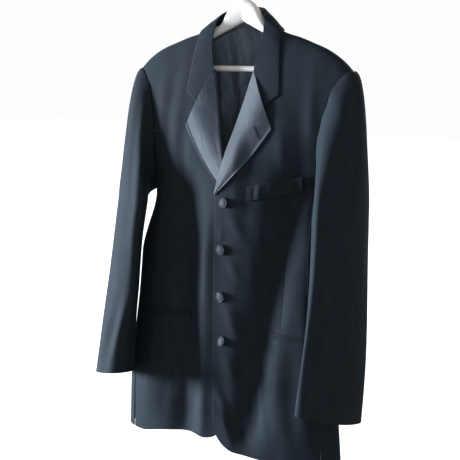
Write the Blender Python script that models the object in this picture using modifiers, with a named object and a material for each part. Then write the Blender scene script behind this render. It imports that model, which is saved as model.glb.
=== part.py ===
"""A four-button dinner jacket on a wooden hanger.

Metres, +Z up, the wearer's left at +X, the front towards -Y. The origin is the inner top of the hanger's hook.
The body is a set of rings from the hem to the armholes. Over the shoulders each ring's points run on a curve
up to the shoulder seam. Each cloth piece is an open surface on that form, given its thickness by Solidify.
"""

import math

import bmesh
import bpy
import numpy as np
from mathutils import Vector

# Driving sizes
SHOULDER_Z = -0.205
CHEST_TOP_Z = SHOULDER_Z - 0.08
BREAK_Z = SHOULDER_Z - 0.237
ARMHOLE_LOW_Z = SHOULDER_Z - 0.20
WALL = 0.0020
FACING_WALL = 0.0016
LINING_WALL = 0.0010
SEAM = 0.0003
ARMHOLE_GAP = 0.0021
FRONT_EDGE_X = -0.0135
OVERLAP_LIFT = 0.0032
BREAK_LIFT = 0.0040
ARMHOLE_DIP = 0.040
NECK_POINT_X = 0.070
CORNER_RADIUS = 0.055
HEM_SHARE = 0.75
SIDE_SEAM_SHARE = 0.90
BACK_SEAM_SHARE = 0.80
FRONT_FULLNESS = 1.3
BACK_FULLNESS = 2.2
RIDGE_LEAN = -0.0625
RIDGE_GAP = 0.0004

# One row a level: drop below the shoulder tips, half width, middle y, front depth, back depth, squareness
BODY = (
    (0.080, 0.270, -0.004, 0.047, 0.053, 2.2),
    (0.120, 0.250, -0.005, 0.056, 0.056, 2.2),
    (0.160, 0.232, -0.007, 0.061, 0.058, 2.2),
    (0.200, 0.208, -0.009, 0.064, 0.058, 2.25),
    (0.240, 0.199, -0.012, 0.064, 0.058, 2.3),
    (0.320, 0.197, -0.017, 0.063, 0.056, 2.4),
    (0.420, 0.202, -0.022, 0.061, 0.054, 2.5),
    (0.520, 0.213, -0.027, 0.059, 0.052, 2.5),
    (0.630, 0.232, -0.034, 0.055, 0.050, 2.5),
    (0.780, 0.249, -0.041, 0.050, 0.050, 2.4),
)

# One row a place on the shoulder line: x, height over the shoulder tips
SHOULDER = (
    (0.000, 0.106),
    (0.050, 0.093),
    (0.090, 0.073),
    (0.124, 0.063),
    (0.156, 0.052),
    (0.187, 0.040),
    (0.205, 0.030),
    (0.221, 0.0185),
    (0.233, 0.0075),
    (0.240, 0.0000),
)

# One row a level of the armhole edge, below the shoulder: drop, x on the front, x on the back
ARMHOLE = (
    (0.080, 0.1930, 0.2030),
    (0.110, 0.1875, 0.1985),
    (0.150, 0.1845, 0.1930),
    (0.200, 0.1872, 0.1664),
)

# One row a turn of the armhole edge over the shoulder: angle in degrees, x on the front, x on the back
ARMHOLE_TOP = (
    (0.0, 0.1930, 0.2030),
    (30.0, 0.2075, 0.2150),
    (60.0, 0.2290, 0.2310),
    (90.0, 0.2400, 0.2400),
)

# One row a turn of the neck edge over the shoulder: angle in degrees, x on the front
NECK_EDGE = (
    (0.0, 0.0240),
    (28.0, 0.0460),
    (45.0, 0.0590),
    (65.0, 0.0680),
    (90.0, 0.0700),
)

# One row a large fold: side (front -1, back 1), x at the top, x at the foot, spread,
# depth into the body, level of its top and of its foot below the shoulder tips
FOLDS = (
    (-1, 0.155, 0.052, 0.034, 0.019, 0.14, 0.76),
    (-1, -0.085, -0.095, 0.036, 0.017, 0.16, 0.80),
    (-1, 0.190, 0.190, 0.022, -0.007, 0.24, 0.74),
    (-1, -0.030, -0.045, 0.020, -0.004, 0.26, 0.80),
    (1, 0.125, 0.110, 0.026, 0.018, 0.12, 0.84),
    (1, -0.120, -0.125, 0.028, 0.020, 0.10, 0.84),
    (1, 0.050, 0.030, 0.022, 0.008, 0.24, 0.84),
    (1, -0.045, -0.060, 0.022, 0.010, 0.20, 0.84),
)
FOLD_FADE = 0.10

# One row a place on the hem: x share of the half width, drop on the left and on the right
HEM = (
    (0.00, 0.746, 0.733),
    (0.30, 0.749, 0.732),
    (0.60, 0.752, 0.742),
    (0.85, 0.757, 0.757),
    (1.00, 0.757, 0.757),
)
HEM_BACK_DROP = 0.757

# Right side of the body: how much fuller it hangs than the left; drops where that starts, is reached, eases off
# and ends, and the share by which it eases off
RIGHT_EASE = 0.034
RIGHT_EASE_DROPS = (0.24, 0.38, 0.50, 0.80)
RIGHT_EASE_LOSS = 0.6

# One row a point of a button's half section, from the middle of its face to its back: radius and height shares
BUTTON_PROFILE = (
    (0.0, 1.0),
    (0.42, 0.97),
    (0.72, 0.86),
    (0.80, 0.76),
    (0.93, 0.80),
    (1.0, 0.62),
    (1.0, 0.34),
    (0.80, 0.0),
    (0.0, 0.0),
)
BUTTON_STEPS = 16
CUFF_BUTTON_STEPS = 12

# One row a level of the left sleeve: drop, centre x, centre y, half length, half breadth, turn in degrees
SLEEVE = (
    (0.265, 0.2415, -0.046, 0.083, 0.0375, 86.0),
    (0.330, 0.2455, -0.054, 0.079, 0.0365, 82.0),
    (0.410, 0.2500, -0.066, 0.075, 0.0350, 76.0),
    (0.520, 0.2540, -0.087, 0.073, 0.0340, 68.0),
    (0.624, 0.2545, -0.107, 0.071, 0.0340, 62.0),
)
# The same for the right sleeve, which hangs with its outer face turned further to the front
SLEEVE_RIGHT = (
    (0.265, 0.2410, -0.0500, 0.080, 0.0275, 39.0),
    (0.330, 0.2400, -0.0675, 0.079, 0.0260, 37.5),
    (0.410, 0.2470, -0.0740, 0.077, 0.0280, 36.2),
    (0.520, 0.2499, -0.0920, 0.073, 0.0335, 38.9),
    (0.624, 0.2480, -0.1110, 0.071, 0.0400, 44.6),
)
CUFF_SLANT = 0.017
CUFF_SLANT_START = 0.45
SLEEVE_FLATNESS = 0.22
# Seams of the sleeve and where its points stand between them, in degrees from its outer side towards the front
UPPER_TURNS = (-81.6, -78.0, -62.0, -44.0, -27.0, -12.0, 0.0, 12.0, 26.0, 42.0, 58.0, 75.0, 92.0, 108.0, 111.6)
UNDER_TURNS = (112.4, 116.0, 131.0, 147.0, 158.0, 170.0, 182.0, 194.0, 206.0, 219.0, 238.0, 257.0, 274.0, 277.6)

# One row a direction round the sleeve head: degrees from the top, towards the front; the way it leaves the seam
HEAD = (
    (0.0, 0.090, 0.000, 0.012),
    (45.0, 0.080, -0.045, 0.006),
    (90.0, 0.055, -0.075, -0.010),
    (135.0, 0.035, -0.050, -0.020),
    (180.0, 0.012, -0.002, -0.022),
    (225.0, 0.045, 0.035, -0.010),
    (270.0, 0.060, 0.045, -0.005),
    (315.0, 0.080, 0.020, 0.006),
    (360.0, 0.090, 0.000, 0.012),
)

# One row a place along half the collar, from the middle of the back: share of the half length, then the
# fold (x, y, height over the shoulder tips), and the outer edge (x, height)
COLLAR = (
    (0.00, 0.000, 0.034, 0.123, 0.000, 0.080),
    (0.14, 0.026, 0.029, 0.120, 0.040, 0.076),
    (0.28, 0.042, 0.008, 0.114, 0.078, 0.074),
    (0.40, 0.048, -0.009, 0.103, 0.092, 0.074),
    (0.55, 0.055, -0.021, 0.066, 0.097, 0.043),
    (0.70, 0.049, -0.032, 0.022, 0.102, 0.004),
    (0.78, 0.046, -0.033, 0.002, 0.104, -0.014),
    (1.00, 0.078, -0.050, -0.068, 0.107, -0.045),
)
COLLAR_GORGE_SHARE = 0.78
COLLAR_SHOULDER_SHARE = 0.40
COLLAR_CLEAR = 0.0018
CLEAR_REACH = 0.012
GORGE_GAP = 0.0018
STAND_START = 0.10
COLLAR_ROLL = 0.004
COLLAR_FALL_SHARES = (0.04, 0.35, 0.68)

COLLAR_EVEN_SHARE = 0.62
COLLAR_EVEN_PASSES = 2

# Lapels: ends of the gorge seam as x and height over the shoulder tips, and the shape of the turned facing
GORGE = (0.046, 0.001)
LAPEL_TIP = (0.099, -0.107)
LAPEL_BELLY = 0.006
LAPEL_ROLL = 0.006
LAPEL_CLEAR = 0.0009

# Details: centre or ends as x and drop below the shoulder tips
# The front buttons from the top: x, drop
BUTTONS = ((0.0095, 0.249), (0.0035, 0.341), (0.0043, 0.434), (0.0087, 0.523))
BUTTON_RADIUS = 0.0105
BUTTON_THICK = 0.0052
BUTTON_SEAT = 0.0010
CUFF_BUTTON_SEAT = 0.0009
CUFF_BUTTON_RADIUS = 0.0073
CUFF_BUTTON_THICK = 0.0042
CUFF_BUTTON_RISES = (0.031, 0.0461, 0.0612)
CUFF_BUTTON_TURN = 318.0
WELT = ((0.056, 0.243), (0.1605, 0.219))
WELT_HEIGHT = 0.029
POCKET_LEFT = ((0.104, 0.5065), (0.183, 0.5020))
POCKET_RIGHT = ((-0.080, 0.4910), (-0.190, 0.5010))
JETTING_HEIGHT = 0.011

# Hanger
# Its upper edge near the middle, and its lower edge: x, height over the shoulder tips
ARM_TOP = ((0.000, 0.138), (0.030, 0.1205), (0.050, 0.0885), (0.066, 0.0775))
ARM_FOOT = (
    (0.000, 0.0920),
    (0.041, 0.0735),
    (0.070, 0.0610),
    (0.120, 0.0400),
    (0.160, 0.0240),
    (0.185, 0.0120),
    (0.205, -0.0040),
    (0.226, -0.0080),
)
ARM_SEAT = 0.0016
ARM_HALF_DEPTH = 0.008
ARM_TAPER = 0.004
ARM_SET_BACK = 0.001
ARM_END_X = 0.226
BAR_END_X = 0.1885
BAR_Z = SHOULDER_Z + 0.003
BAR_RADIUS = 0.0055
HOOK_WIRE = 0.0019
HOOK_INNER = 0.022
# Where the wire leaves the shank for the loop (x, y, z), and the loop's first and last turn in degrees
HOOK_NECK = ((0, 0, -0.056), (0.002, 0, -0.050), (0.0075, 0, -0.0445))
HOOK_TURNS = (-52, 205)
ARM_SECTION_POINTS = 12
LINING_DEPTH = 0.19
LINING_TOP_LEVEL = 0.66
LINING_CLEAR = 0.0016

MATERIALS = {
    "wool": ((0.030, 0.043, 0.056, 1.0), 0.85, 0.0),
    "satin": ((0.085, 0.125, 0.155, 1.0), 0.45, 0.0),
    "lining": ((0.075, 0.100, 0.120, 1.0), 0.40, 0.0),
    "button": ((0.070, 0.085, 0.100, 1.0), 0.40, 0.0),
    "painted_wood": ((0.900, 0.890, 0.870, 1.0), 0.35, 0.0),
    "hook_steel": ((0.700, 0.700, 0.700, 1.0), 0.25, 1.0),
}


def along(table, column, at):
    """The table's column at a value of its first column, on a smooth curve through the rows."""
    keys = np.array([row[0] for row in table])
    values = np.array([row[column] for row in table])
    slopes = np.gradient(values, keys)
    at = np.clip(np.asarray(at, float), keys[0], keys[-1])
    low = np.clip(np.searchsorted(keys, at, side="right") - 1, 0, len(keys) - 2)
    step = keys[low + 1] - keys[low]
    t = (at - keys[low]) / step
    return (
        (2 * t**3 - 3 * t**2 + 1) * values[low]
        + (t**3 - 2 * t**2 + t) * step * slopes[low]
        + (3 * t**2 - 2 * t**3) * values[low + 1]
        + (t**3 - t**2) * step * slopes[low + 1]
    )


def eased(t):
    """0 below 0, 1 above 1, and a smooth step between."""
    t = np.clip(t, 0.0, 1.0)
    return t * t * (3 - 2 * t)


def stations(count, edge=0.02):
    """Shares from 0 to 1 in count even steps, with one narrow step more at each end, as along a seam."""
    return np.concatenate([[0.0], np.linspace(edge, 1 - edge, count + 1), [1.0]])


def folds(side, x, z):
    """How far the folds on one side push the cloth into the body at x and z."""
    drop = SHOULDER_Z - z
    total = np.zeros(np.broadcast(x, z).shape)
    for row_side, x_top, x_foot, spread, depth, top, foot in FOLDS:
        if row_side != side:
            continue
        share = np.clip((drop - top) / (foot - top), 0, 1)
        middle = x_top + (x_foot - x_top) * share
        fade = eased((drop - top) / FOLD_FADE) * eased((foot - drop) / FOLD_FADE)
        total = total + depth * fade * np.exp(-(((x - middle) / spread) ** 2))
    return total


def half_width(x, drop):
    """Half width of the body at a drop, on the side of x: the right side (x below 0) hangs fuller."""
    start, full, easing, end = RIGHT_EASE_DROPS
    loss = RIGHT_EASE_LOSS * eased((drop - easing) / (end - easing))
    ease = RIGHT_EASE * eased((drop - start) / (full - start)) * (1 - loss)
    return along(BODY, 1, drop) + np.where(np.asarray(x) < 0, ease, 0.0)


def ring_y(side, x, z):
    """y of the body's front (side -1) or back (side 1) below the shoulders."""
    drop = SHOULDER_Z - z
    half = half_width(x, drop)
    square = along(BODY, 5, drop)
    depth = along(BODY, 3 if side < 0 else 4, drop)
    share = np.clip(1 - np.abs(x / half) ** square, 0, 1) ** (1 / square)
    return along(BODY, 2, drop) + side * (depth * share - folds(side, x, z) * np.minimum(1, share * 2))


def shoulder_z(x):
    return SHOULDER_Z + along(SHOULDER, 1, np.abs(x))


def body_point(side, x, level):
    """A point of the body at x. Level is z below CHEST_TOP_Z where negative, and the share of the way over
    the shoulder, up to its seam, where positive."""
    x, level = np.broadcast_arrays(np.asarray(x, float), np.asarray(level, float))
    z = CHEST_TOP_Z + np.minimum(level, 0)
    y = ring_y(side, x, z)
    turn = np.clip(level, 0, 1)
    leave, arrive = (turn**3 - 2 * turn**2 + turn), (turn**2 - turn**3)
    first, last = (2 * turn**3 - 3 * turn**2 + 1), (3 * turn**2 - 2 * turn**3)
    full = BACK_FULLNESS if side > 0 else FRONT_FULLNESS
    rise = shoulder_z(x) - CHEST_TOP_Z
    lean = (ring_y(side, x, CHEST_TOP_Z) - ring_y(side, x, CHEST_TOP_Z - 0.002)) / 0.002
    ridge = RIDGE_LEAN * np.abs(x) + side * RIDGE_GAP
    over = ridge * last + y * first + (y - ridge) * full * arrive + lean * rise * full * leave
    y = np.where(level > 0, over, y)
    z = np.where(level > 0, CHEST_TOP_Z + rise * (last + full * leave), z)
    return np.stack([x, y, z], axis=-1)


def level_at(side, x, z):
    """The level at which body_point reaches the height z."""
    turn = np.linspace(0, 1, 200)
    full = BACK_FULLNESS if side > 0 else FRONT_FULLNESS
    climb = 3 * turn**2 - 2 * turn**3 + full * (turn**3 - 2 * turn**2 + turn)
    share = np.clip((z - CHEST_TOP_Z) / (shoulder_z(x) - CHEST_TOP_Z), 0, 1)
    return np.where(z <= CHEST_TOP_Z, z - CHEST_TOP_Z, np.interp(share, climb, turn))


def moved_out(side, x, level, out):
    """The point of the front or back at x and a level, moved out along the surface's normal."""
    step = 0.001
    across = body_point(side, x + step, level) - body_point(side, x - step, level)
    upward = body_point(side, x, level + step) - body_point(side, x, level - step)
    normal = -side * np.cross(across, upward)
    normal /= np.maximum(np.linalg.norm(normal, axis=-1, keepdims=True), 1e-12)
    return body_point(side, x, level) + normal * np.asarray(out, float)[..., None], normal


def on_body(side, x, z, out=0.0):
    """The point of the front or back at x and z, moved out along the surface's normal."""
    x, z, out = np.broadcast_arrays(np.asarray(x, float), np.asarray(z, float), np.asarray(out, float))
    return moved_out(side, x, level_at(side, x, z), out)[0]


def armhole_x(side, level):
    """x of the armhole edge on the front or back at a level."""
    column = 1 if side < 0 else 2
    low = along(ARMHOLE, column, SHOULDER_Z - CHEST_TOP_Z - np.minimum(level, 0))
    top = along(ARMHOLE_TOP, column, np.clip(level, 0, 1) * 90)
    return np.where(level > 0, top, low)


def outer_x(hand, side, level):
    """Distance from the middle of a front's or back's outer edge: the side seam, a share of the half width,
    then the armhole."""
    z = CHEST_TOP_Z + np.minimum(level, 0)
    share = SIDE_SEAM_SHARE if side < 0 else BACK_SEAM_SHARE
    return np.where(z > ARMHOLE_LOW_Z, armhole_x(side, level), share * half_width(hand, SHOULDER_Z - z))


def inner_x(level):
    """x of a front's inner edge on the left: the front edge, the roll line and then the neck."""
    z = CHEST_TOP_Z + np.minimum(level, 0)
    roll = FRONT_EDGE_X + (NECK_EDGE[0][1] - FRONT_EDGE_X) * (z - BREAK_Z) / (CHEST_TOP_Z - BREAK_Z)
    return np.where(level > 0, along(NECK_EDGE, 1, np.clip(level, 0, 1) * 90), np.maximum(roll, FRONT_EDGE_X))


def hem_z(hand, x):
    column = 1 if hand > 0 else 2
    return SHOULDER_Z - along(HEM, column, np.abs(x) / BODY[-1][1])


def body_rows():
    """Rows of a front or back from the hem up: share of the way down from the chest top, and level."""
    foot = (CHEST_TOP_Z - ARMHOLE_LOW_Z) / (CHEST_TOP_Z - SHOULDER_Z + HEM_BACK_DROP)
    over = stations(6)[1:]
    share = np.concatenate([1 - stations(11)[:-1] * (1 - foot), foot * np.linspace(1, 0, 4), 0 * over])
    level = share * (SHOULDER_Z - HEM_BACK_DROP - CHEST_TOP_Z)
    level[-len(over) :] = over
    return share, level


def lift(x, z):
    """How far the left front stands off the right one where it laps over it."""
    near_break = eased((z - BREAK_Z) / 0.06 + 1)
    above = 1 - eased((z - BREAK_Z - 0.06) / 0.08)
    return (OVERLAP_LIFT + BREAK_LIFT * near_break) * eased((0.062 - x) / 0.035) * above


def front_grid(hand):
    """The front of one hand: columns from the front edge to the side, rows from the hem to the shoulder."""
    share, levels = body_rows()
    columns = stations(10) ** 1.25
    first = inner_x(levels)
    last = outer_x(hand, -1, levels) - SEAM
    x = hand * (first[:, None] + (last - first)[:, None] * columns[None, :])
    level = np.broadcast_to(levels[:, None], x.shape)
    near = np.clip(1 - (hand * x - FRONT_EDGE_X) / CORNER_RADIUS, 0, 1)
    low = np.clip((share[:, None] - HEM_SHARE) / (1 - HEM_SHARE), 0, 1)
    corner = CORNER_RADIUS * (1 - np.sqrt(1 - near**2)) * low
    z = CHEST_TOP_Z + (hem_z(hand, x) - CHEST_TOP_Z) * share[:, None] + corner
    level = np.where(level < 0, z - CHEST_TOP_Z, level)
    points = body_point(-1, x, level)
    if hand > 0:
        points[..., 1] -= lift(x, z)
    return points


def back_grid(hand):
    """The back of one hand: columns from the centre seam to the side, rows from the hem to the shoulder."""
    share, levels = body_rows()
    first = np.full(len(levels), SEAM)
    neck = NECK_POINT_X * eased((levels - 0.72) / 0.28)
    first = np.maximum(first, neck)
    last = outer_x(hand, 1, levels) - SEAM
    columns = stations(8)
    x = first[:, None] + (last - first)[:, None] * columns[None, :]
    return body_point(1, hand * x, np.broadcast_to(levels[:, None], x.shape))


def armhole_low_z(turn):
    """Height of the armhole's foot over the side panel, from its front seam (0) to its back seam (1)."""
    return ARMHOLE_LOW_Z - ARMHOLE_DIP * np.sin(math.pi * np.clip(turn, 0, 1))


def side_point(hand, turn, z):
    """A point of the side panel: turn goes from the front seam (0) to the back seam (1)."""
    drop = SHOULDER_Z - z
    square = along(BODY, 5, drop)
    half = half_width(hand, drop)
    start = np.arcsin(SIDE_SEAM_SHARE ** (square / 2))
    end = math.pi - np.arcsin(BACK_SEAM_SHARE ** (square / 2))
    angle = start + (end - start) * turn
    x = half * np.abs(np.sin(angle)) ** (2 / square)
    share = np.abs(np.cos(angle)) ** (2 / square)
    front = np.cos(angle) > 0
    depth = np.where(front, -along(BODY, 3, drop), along(BODY, 4, drop))
    pushed = np.where(front, folds(-1, hand * x, z), -folds(1, hand * x, z))
    y = along(BODY, 2, drop) + depth * share + pushed * np.minimum(1, share * 2)
    return np.stack([hand * x, y, z], axis=-1)


def side_grid(hand):
    turns = stations(7, 0.03)
    turns = 0.004 + 0.992 * turns
    rows = stations(11)[:-1]
    rows = np.append(rows, 1.0)
    top = armhole_low_z(turns)
    foot = SHOULDER_Z - HEM_BACK_DROP
    z = foot + (top[None, :] - foot) * rows[:, None]
    return side_point(hand, np.broadcast_to(turns[None, :], z.shape), z)


def armhole_loop(hand, count):
    """Points of one armhole's edge, as on the left, from the shoulder down the front, under and up the back."""
    over = np.linspace(1, 0, 30)
    down = np.linspace(0, ARMHOLE_LOW_Z - CHEST_TOP_Z, 30)[1:-1]
    levels = np.concatenate([over, down])
    front = body_point(-1, hand * armhole_x(-1, levels), levels)
    turns = np.linspace(0, 1, 30)
    under = side_point(hand, turns, armhole_low_z(turns))
    back = body_point(1, hand * armhole_x(1, levels), levels)[::-1]
    loop = np.concatenate([front, under, back]) * np.array([hand, 1, 1])
    lengths = np.concatenate([[0], np.cumsum(np.linalg.norm(np.diff(loop, axis=0), axis=1))])
    shares = np.asarray(count, float) * lengths[-1]
    return np.stack([np.interp(shares, lengths, loop[:, i]) for i in range(3)], axis=-1)


def sleeve_ring(hand, turn, drop):
    """A point of one hand's sleeve at a drop, as it would be on the left: turn in degrees from its outer side,
    towards the front."""
    table = SLEEVE if hand > 0 else SLEEVE_RIGHT
    angle = np.radians(turn)
    tilt = np.radians(along(table, 5, drop))
    long = along(table, 3, drop) * np.sin(angle)
    short = along(table, 4, drop) * np.cos(angle) * (1 - SLEEVE_FLATNESS * np.sin(angle) ** 2)
    x = along(table, 1, drop) - np.cos(tilt) * long + np.sin(tilt) * short
    y = along(table, 2, drop) - np.sin(tilt) * long - np.cos(tilt) * short
    cuff = eased((drop - CUFF_SLANT_START) / (table[-1][0] - CUFF_SLANT_START))
    z = SHOULDER_Z - drop + CUFF_SLANT * cuff * np.sin(angle)
    return np.stack([x, y, z], axis=-1)


def sleeve_point(hand, turn, run):
    """A point of one hand's sleeve, as it would be on the left: run goes from the armhole (0) over the head (1)
    to the cuff (2)."""
    turn, run = np.broadcast_arrays(np.asarray(turn, float), np.asarray(run, float))
    start = armhole_loop(hand, turn / 360)
    under = 0.5 - 0.5 * np.cos(np.radians(turn))
    start = start + ARMHOLE_GAP * np.stack([1 + 0.4 * under, 0 * turn, 0.5 * under], axis=-1)
    first = SLEEVE[0][0]
    last = SLEEVE[-1][0]
    end = sleeve_ring(hand, turn, np.full(turn.shape, first))
    leave = np.stack([along(HEAD, i, turn) for i in (1, 2, 3)], axis=-1)
    reach = np.linalg.norm(end - start, axis=-1, keepdims=True)
    arrive = np.array([0.02, -0.06, -1.0]) * reach
    t = np.clip(run, 0, 1)[..., None]
    head = (
        (2 * t**3 - 3 * t**2 + 1) * start
        + (t**3 - 2 * t**2 + t) * leave
        + (3 * t**2 - 2 * t**3) * end
        + (t**3 - t**2) * arrive
    )
    arm = sleeve_ring(hand, turn, first + (last - first) * np.clip(run - 1, 0, 1))
    return np.where(run[..., None] > 1, arm, head)


def sleeve_grid(hand, turns):
    runs = np.concatenate([stations(7, 0.04)[:-1], 1 + stations(9)[1:]])
    points = sleeve_point(hand, np.array(turns)[None, :] % 360, runs[:, None])
    points[..., 0] *= hand
    return points


def panel_point(grid, x, z, out, normal):
    """The points where a front's own quads pass x and z, moved out along a normal. x grows along its rows."""
    depth = []
    for each_x, each_z in zip(np.ravel(x), np.ravel(z)):
        heights = [np.interp(each_x, row[:, 0], row[:, 2]) for row in grid]
        depths = [np.interp(each_x, row[:, 0], row[:, 1]) for row in grid]
        depth.append(np.interp(each_z, heights, depths))
    return np.stack([x, np.reshape(depth, x.shape), z], axis=-1) + normal * out[..., None]


def on_front(hand, x, z, out):
    """Points lying on the front of one hand at x and z, a distance out from it."""
    x, z, out = np.broadcast_arrays(np.asarray(x, float), np.asarray(z, float), np.asarray(out, float))
    grid = front_grid(hand)
    if hand < 0:
        grid = grid[:, ::-1]
    normal = moved_out(-1, x, level_at(-1, x, z), 0 * x)[1]
    return panel_point(grid, x, z, out, normal)


def clear_of_body(points, out):
    """The points, with any that stand nearer than out to the body's front or back pushed off it."""
    levels = np.linspace(-0.2, 1, 120)
    points = points.copy()
    for side in (1, -1):
        x = np.broadcast_to(points[:, :1], (len(points), len(levels)))
        skin, normal = moved_out(side, x, np.broadcast_to(levels, x.shape), np.zeros(x.shape))
        away = points[:, None, :] - skin
        distance = np.linalg.norm(away, axis=-1)
        nearest = np.argmin(distance, axis=1)
        pick = np.arange(len(points))
        gap = np.sum(away[pick, nearest] * normal[pick, nearest], axis=-1)
        push = np.clip(out - gap, 0, None) * (distance[pick, nearest] < CLEAR_REACH)
        points += normal[pick, nearest] * push[:, None]
    return points


def collar_points(shares):
    """The left half of the collar at shares of its length from the middle of the back.

    Columns run from the outer edge (0) up the fall to the fold, and down the stand to the neck seam.
    """
    fold = np.stack([along(COLLAR, i, shares) for i in (1, 2, 3)], axis=-1)
    fold[:, 2] += SHOULDER_Z
    rolled = (shares > COLLAR_SHOULDER_SHARE + 0.05)[:, None]
    fold = np.where(rolled, clear_of_body(fold, FACING_WALL + COLLAR_CLEAR), fold)
    behind = shares < COLLAR_SHOULDER_SHARE
    level = np.where(behind, 0.72 + 0.28 * shares / COLLAR_SHOULDER_SHARE, 1 - (shares - COLLAR_SHOULDER_SHARE)
                     * (1 - NECK_EDGE[1][0] / 90) / (COLLAR_GORGE_SHARE - COLLAR_SHOULDER_SHARE))
    neck = np.where(
        behind[:, None],
        body_point(1, NECK_POINT_X * eased((level - 0.72) / 0.28), level),
        body_point(-1, inner_x(np.maximum(level, 0.01)), level),
    )
    neck = neck + (fold - neck) * STAND_START
    neck[:, 0] -= FACING_WALL * np.clip((shares - 0.3) / 0.1, 0, 1)
    x = along(COLLAR, 4, shares)
    z = np.minimum(SHOULDER_Z + along(COLLAR, 5, shares), shoulder_z(x) - 0.0004)
    out = FACING_WALL + COLLAR_CLEAR
    edge = np.where(behind[:, None], on_body(1, x, z, out), on_body(-1, x, z, out))
    gorge = on_body(-1, fold[:, 0] + 0.9 * GORGE_GAP, fold[:, 2] + 0.45 * GORGE_GAP, out)
    fold = np.where((shares > COLLAR_GORGE_SHARE - 0.001)[:, None], gorge, fold)
    fall = [edge]
    for part in COLLAR_FALL_SHARES:
        point = edge + (fold - edge) * part
        point[:, 2] += COLLAR_ROLL * math.sin(math.pi * part)
        fall.append(clear_of_body(point, out))
    return np.stack([*fall, fold, (fold + neck) / 2, neck], axis=1)


def evened(points, shares):
    """The collar with its fall and fold smoothed along its length round the back, and cleared of the body."""
    free = (shares[1:-1] < COLLAR_EVEN_SHARE)[:, None, None]
    for _ in range(COLLAR_EVEN_PASSES):
        fall = points[:, :5]
        mean = (fall[:-2] + 2 * fall[1:-1] + fall[2:]) / 4
        fall[1:-1] = np.where(free, mean, fall[1:-1])
    for column in range(4):
        points[:, column] = clear_of_body(points[:, column], FACING_WALL + COLLAR_CLEAR)
    points[:, 5] = (points[:, 4] + points[:, 6]) / 2
    return points


def collar_mesh(name):
    """The whole collar, from the right notch round the back to the left one. The stand ends at the gorge."""
    before_gorge = np.linspace(0, COLLAR_GORGE_SHARE - 0.03, 13)
    half = np.concatenate([before_gorge, np.linspace(COLLAR_GORGE_SHARE, 1, 5)])
    left = collar_points(half)
    right = left[:0:-1] * np.array([-1, 1, 1])
    shares = np.concatenate([half[:0:-1], half])
    points = evened(np.concatenate([right, left]), shares)
    stand_end = COLLAR_GORGE_SHARE - 0.025
    mesh = grid_mesh(name, points)
    work = bmesh.new()
    work.from_mesh(mesh)
    work.verts.ensure_lookup_table()
    columns = points.shape[1]
    loose = [
        work.verts[row * columns + column]
        for row, share in enumerate(shares)
        if share > stand_end
        for column in (columns - 1, columns - 2)
    ]
    bmesh.ops.delete(work, geom=loose, context="VERTS")
    work.to_mesh(mesh)
    work.free()
    return mesh


def grid_mesh(name, points, closed_round=False):
    """A mesh of quads over a grid of points, rows by columns."""
    rows, columns = points.shape[:2]
    index = np.arange(rows * columns).reshape(rows, columns)
    if closed_round:
        index = np.concatenate([index, index[:, :1]], axis=1)
    corners = np.stack([index[:-1, :-1], index[:-1, 1:], index[1:, 1:], index[1:, :-1]], axis=-1)
    mesh = bpy.data.meshes.new(name)
    mesh.from_pydata(points.reshape(-1, 3).tolist(), [], corners.reshape(-1, 4).tolist())
    mesh.update()
    return mesh


def material(name):
    colour, roughness, metallic = MATERIALS[name]
    made = bpy.data.materials.get(name) or bpy.data.materials.new(name)
    made.use_nodes = True
    shader = made.node_tree.nodes["Principled BSDF"]
    shader.inputs["Base Color"].default_value = colour
    shader.inputs["Roughness"].default_value = roughness
    shader.inputs["Metallic"].default_value = metallic
    made.diffuse_color = colour
    return made


def add(name, data, finish, parts):
    """An object with its own material, in the jacket's collection."""
    piece = bpy.data.objects.new(name, data)
    data.materials.append(material(finish))
    parts.objects.link(piece)
    return piece


def cloth(name, points, finish, parts, thickness=WALL, flip=False):
    """An open surface over the grid, with Solidify giving it a wall that grows inwards."""
    mesh = grid_mesh(name, points[:, ::-1] if flip else points)
    mesh.shade_smooth()
    piece = add(name, mesh, finish, parts)
    wall = piece.modifiers.new("wall", "SOLIDIFY")
    wall.thickness = thickness
    wall.offset = -1.0
    wall.use_quality_normals = True
    return piece


def lapel_grid(hand):
    """A facing turned back over the front: rows along the roll line, columns out to its edge."""
    runs = np.linspace(0, 0.975, 13)
    spread = stations(4, 0.03)
    tip = np.array(LAPEL_TIP)
    end = np.array([FRONT_EDGE_X, BREAK_Z - SHOULDER_Z])
    roll = np.stack([first + (last - first) * runs for first, last in zip(GORGE, end)], axis=-1)
    edge = tip + (end - tip) * runs[:, None]
    belly = LAPEL_BELLY * np.sin(math.pi * runs)
    edge = edge + belly[:, None] * np.array([0.6, -0.8])
    flat = roll[:, None, :] + (edge - roll)[:, None, :] * spread[None, :, None]
    x = flat[..., 0]
    z = SHOULDER_Z + flat[..., 1]
    rise = LAPEL_ROLL * np.sin(math.pi * spread) ** 1.2 * (1 - runs[:, None]) ** (0.7 if hand > 0 else 1.6)
    return on_front(hand, hand * x, z, FACING_WALL + LAPEL_CLEAR + rise)


def patch_grid(corners, height, columns, rows, out):
    """Points over the left or right front between two corners, rising by height, at an outer distance a row."""
    (x_first, drop_first), (x_last, drop_last) = corners
    run = stations(columns, 0.02)
    x = x_first + (x_last - x_first) * run
    z = SHOULDER_Z - (drop_first + (drop_last - drop_first) * run)
    up = np.asarray(rows) * height
    hand = 1 if x_first > 0 else -1
    x = np.broadcast_to(x, (len(up), len(x)))
    return on_front(hand, x, z[None, :] + up[:, None], np.asarray(out)[:, None])


def half_section(name, radius, thick, profile):
    """The line that Screw turns about Z, from a profile of radius and height shares, top to bottom."""
    mesh = bpy.data.meshes.new(name)
    corners = [(share * radius, 0, height * thick) for share, height in profile]
    mesh.from_pydata(corners, [(i, i + 1) for i in range(len(profile) - 1)], [])
    mesh.update()
    return mesh


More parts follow.
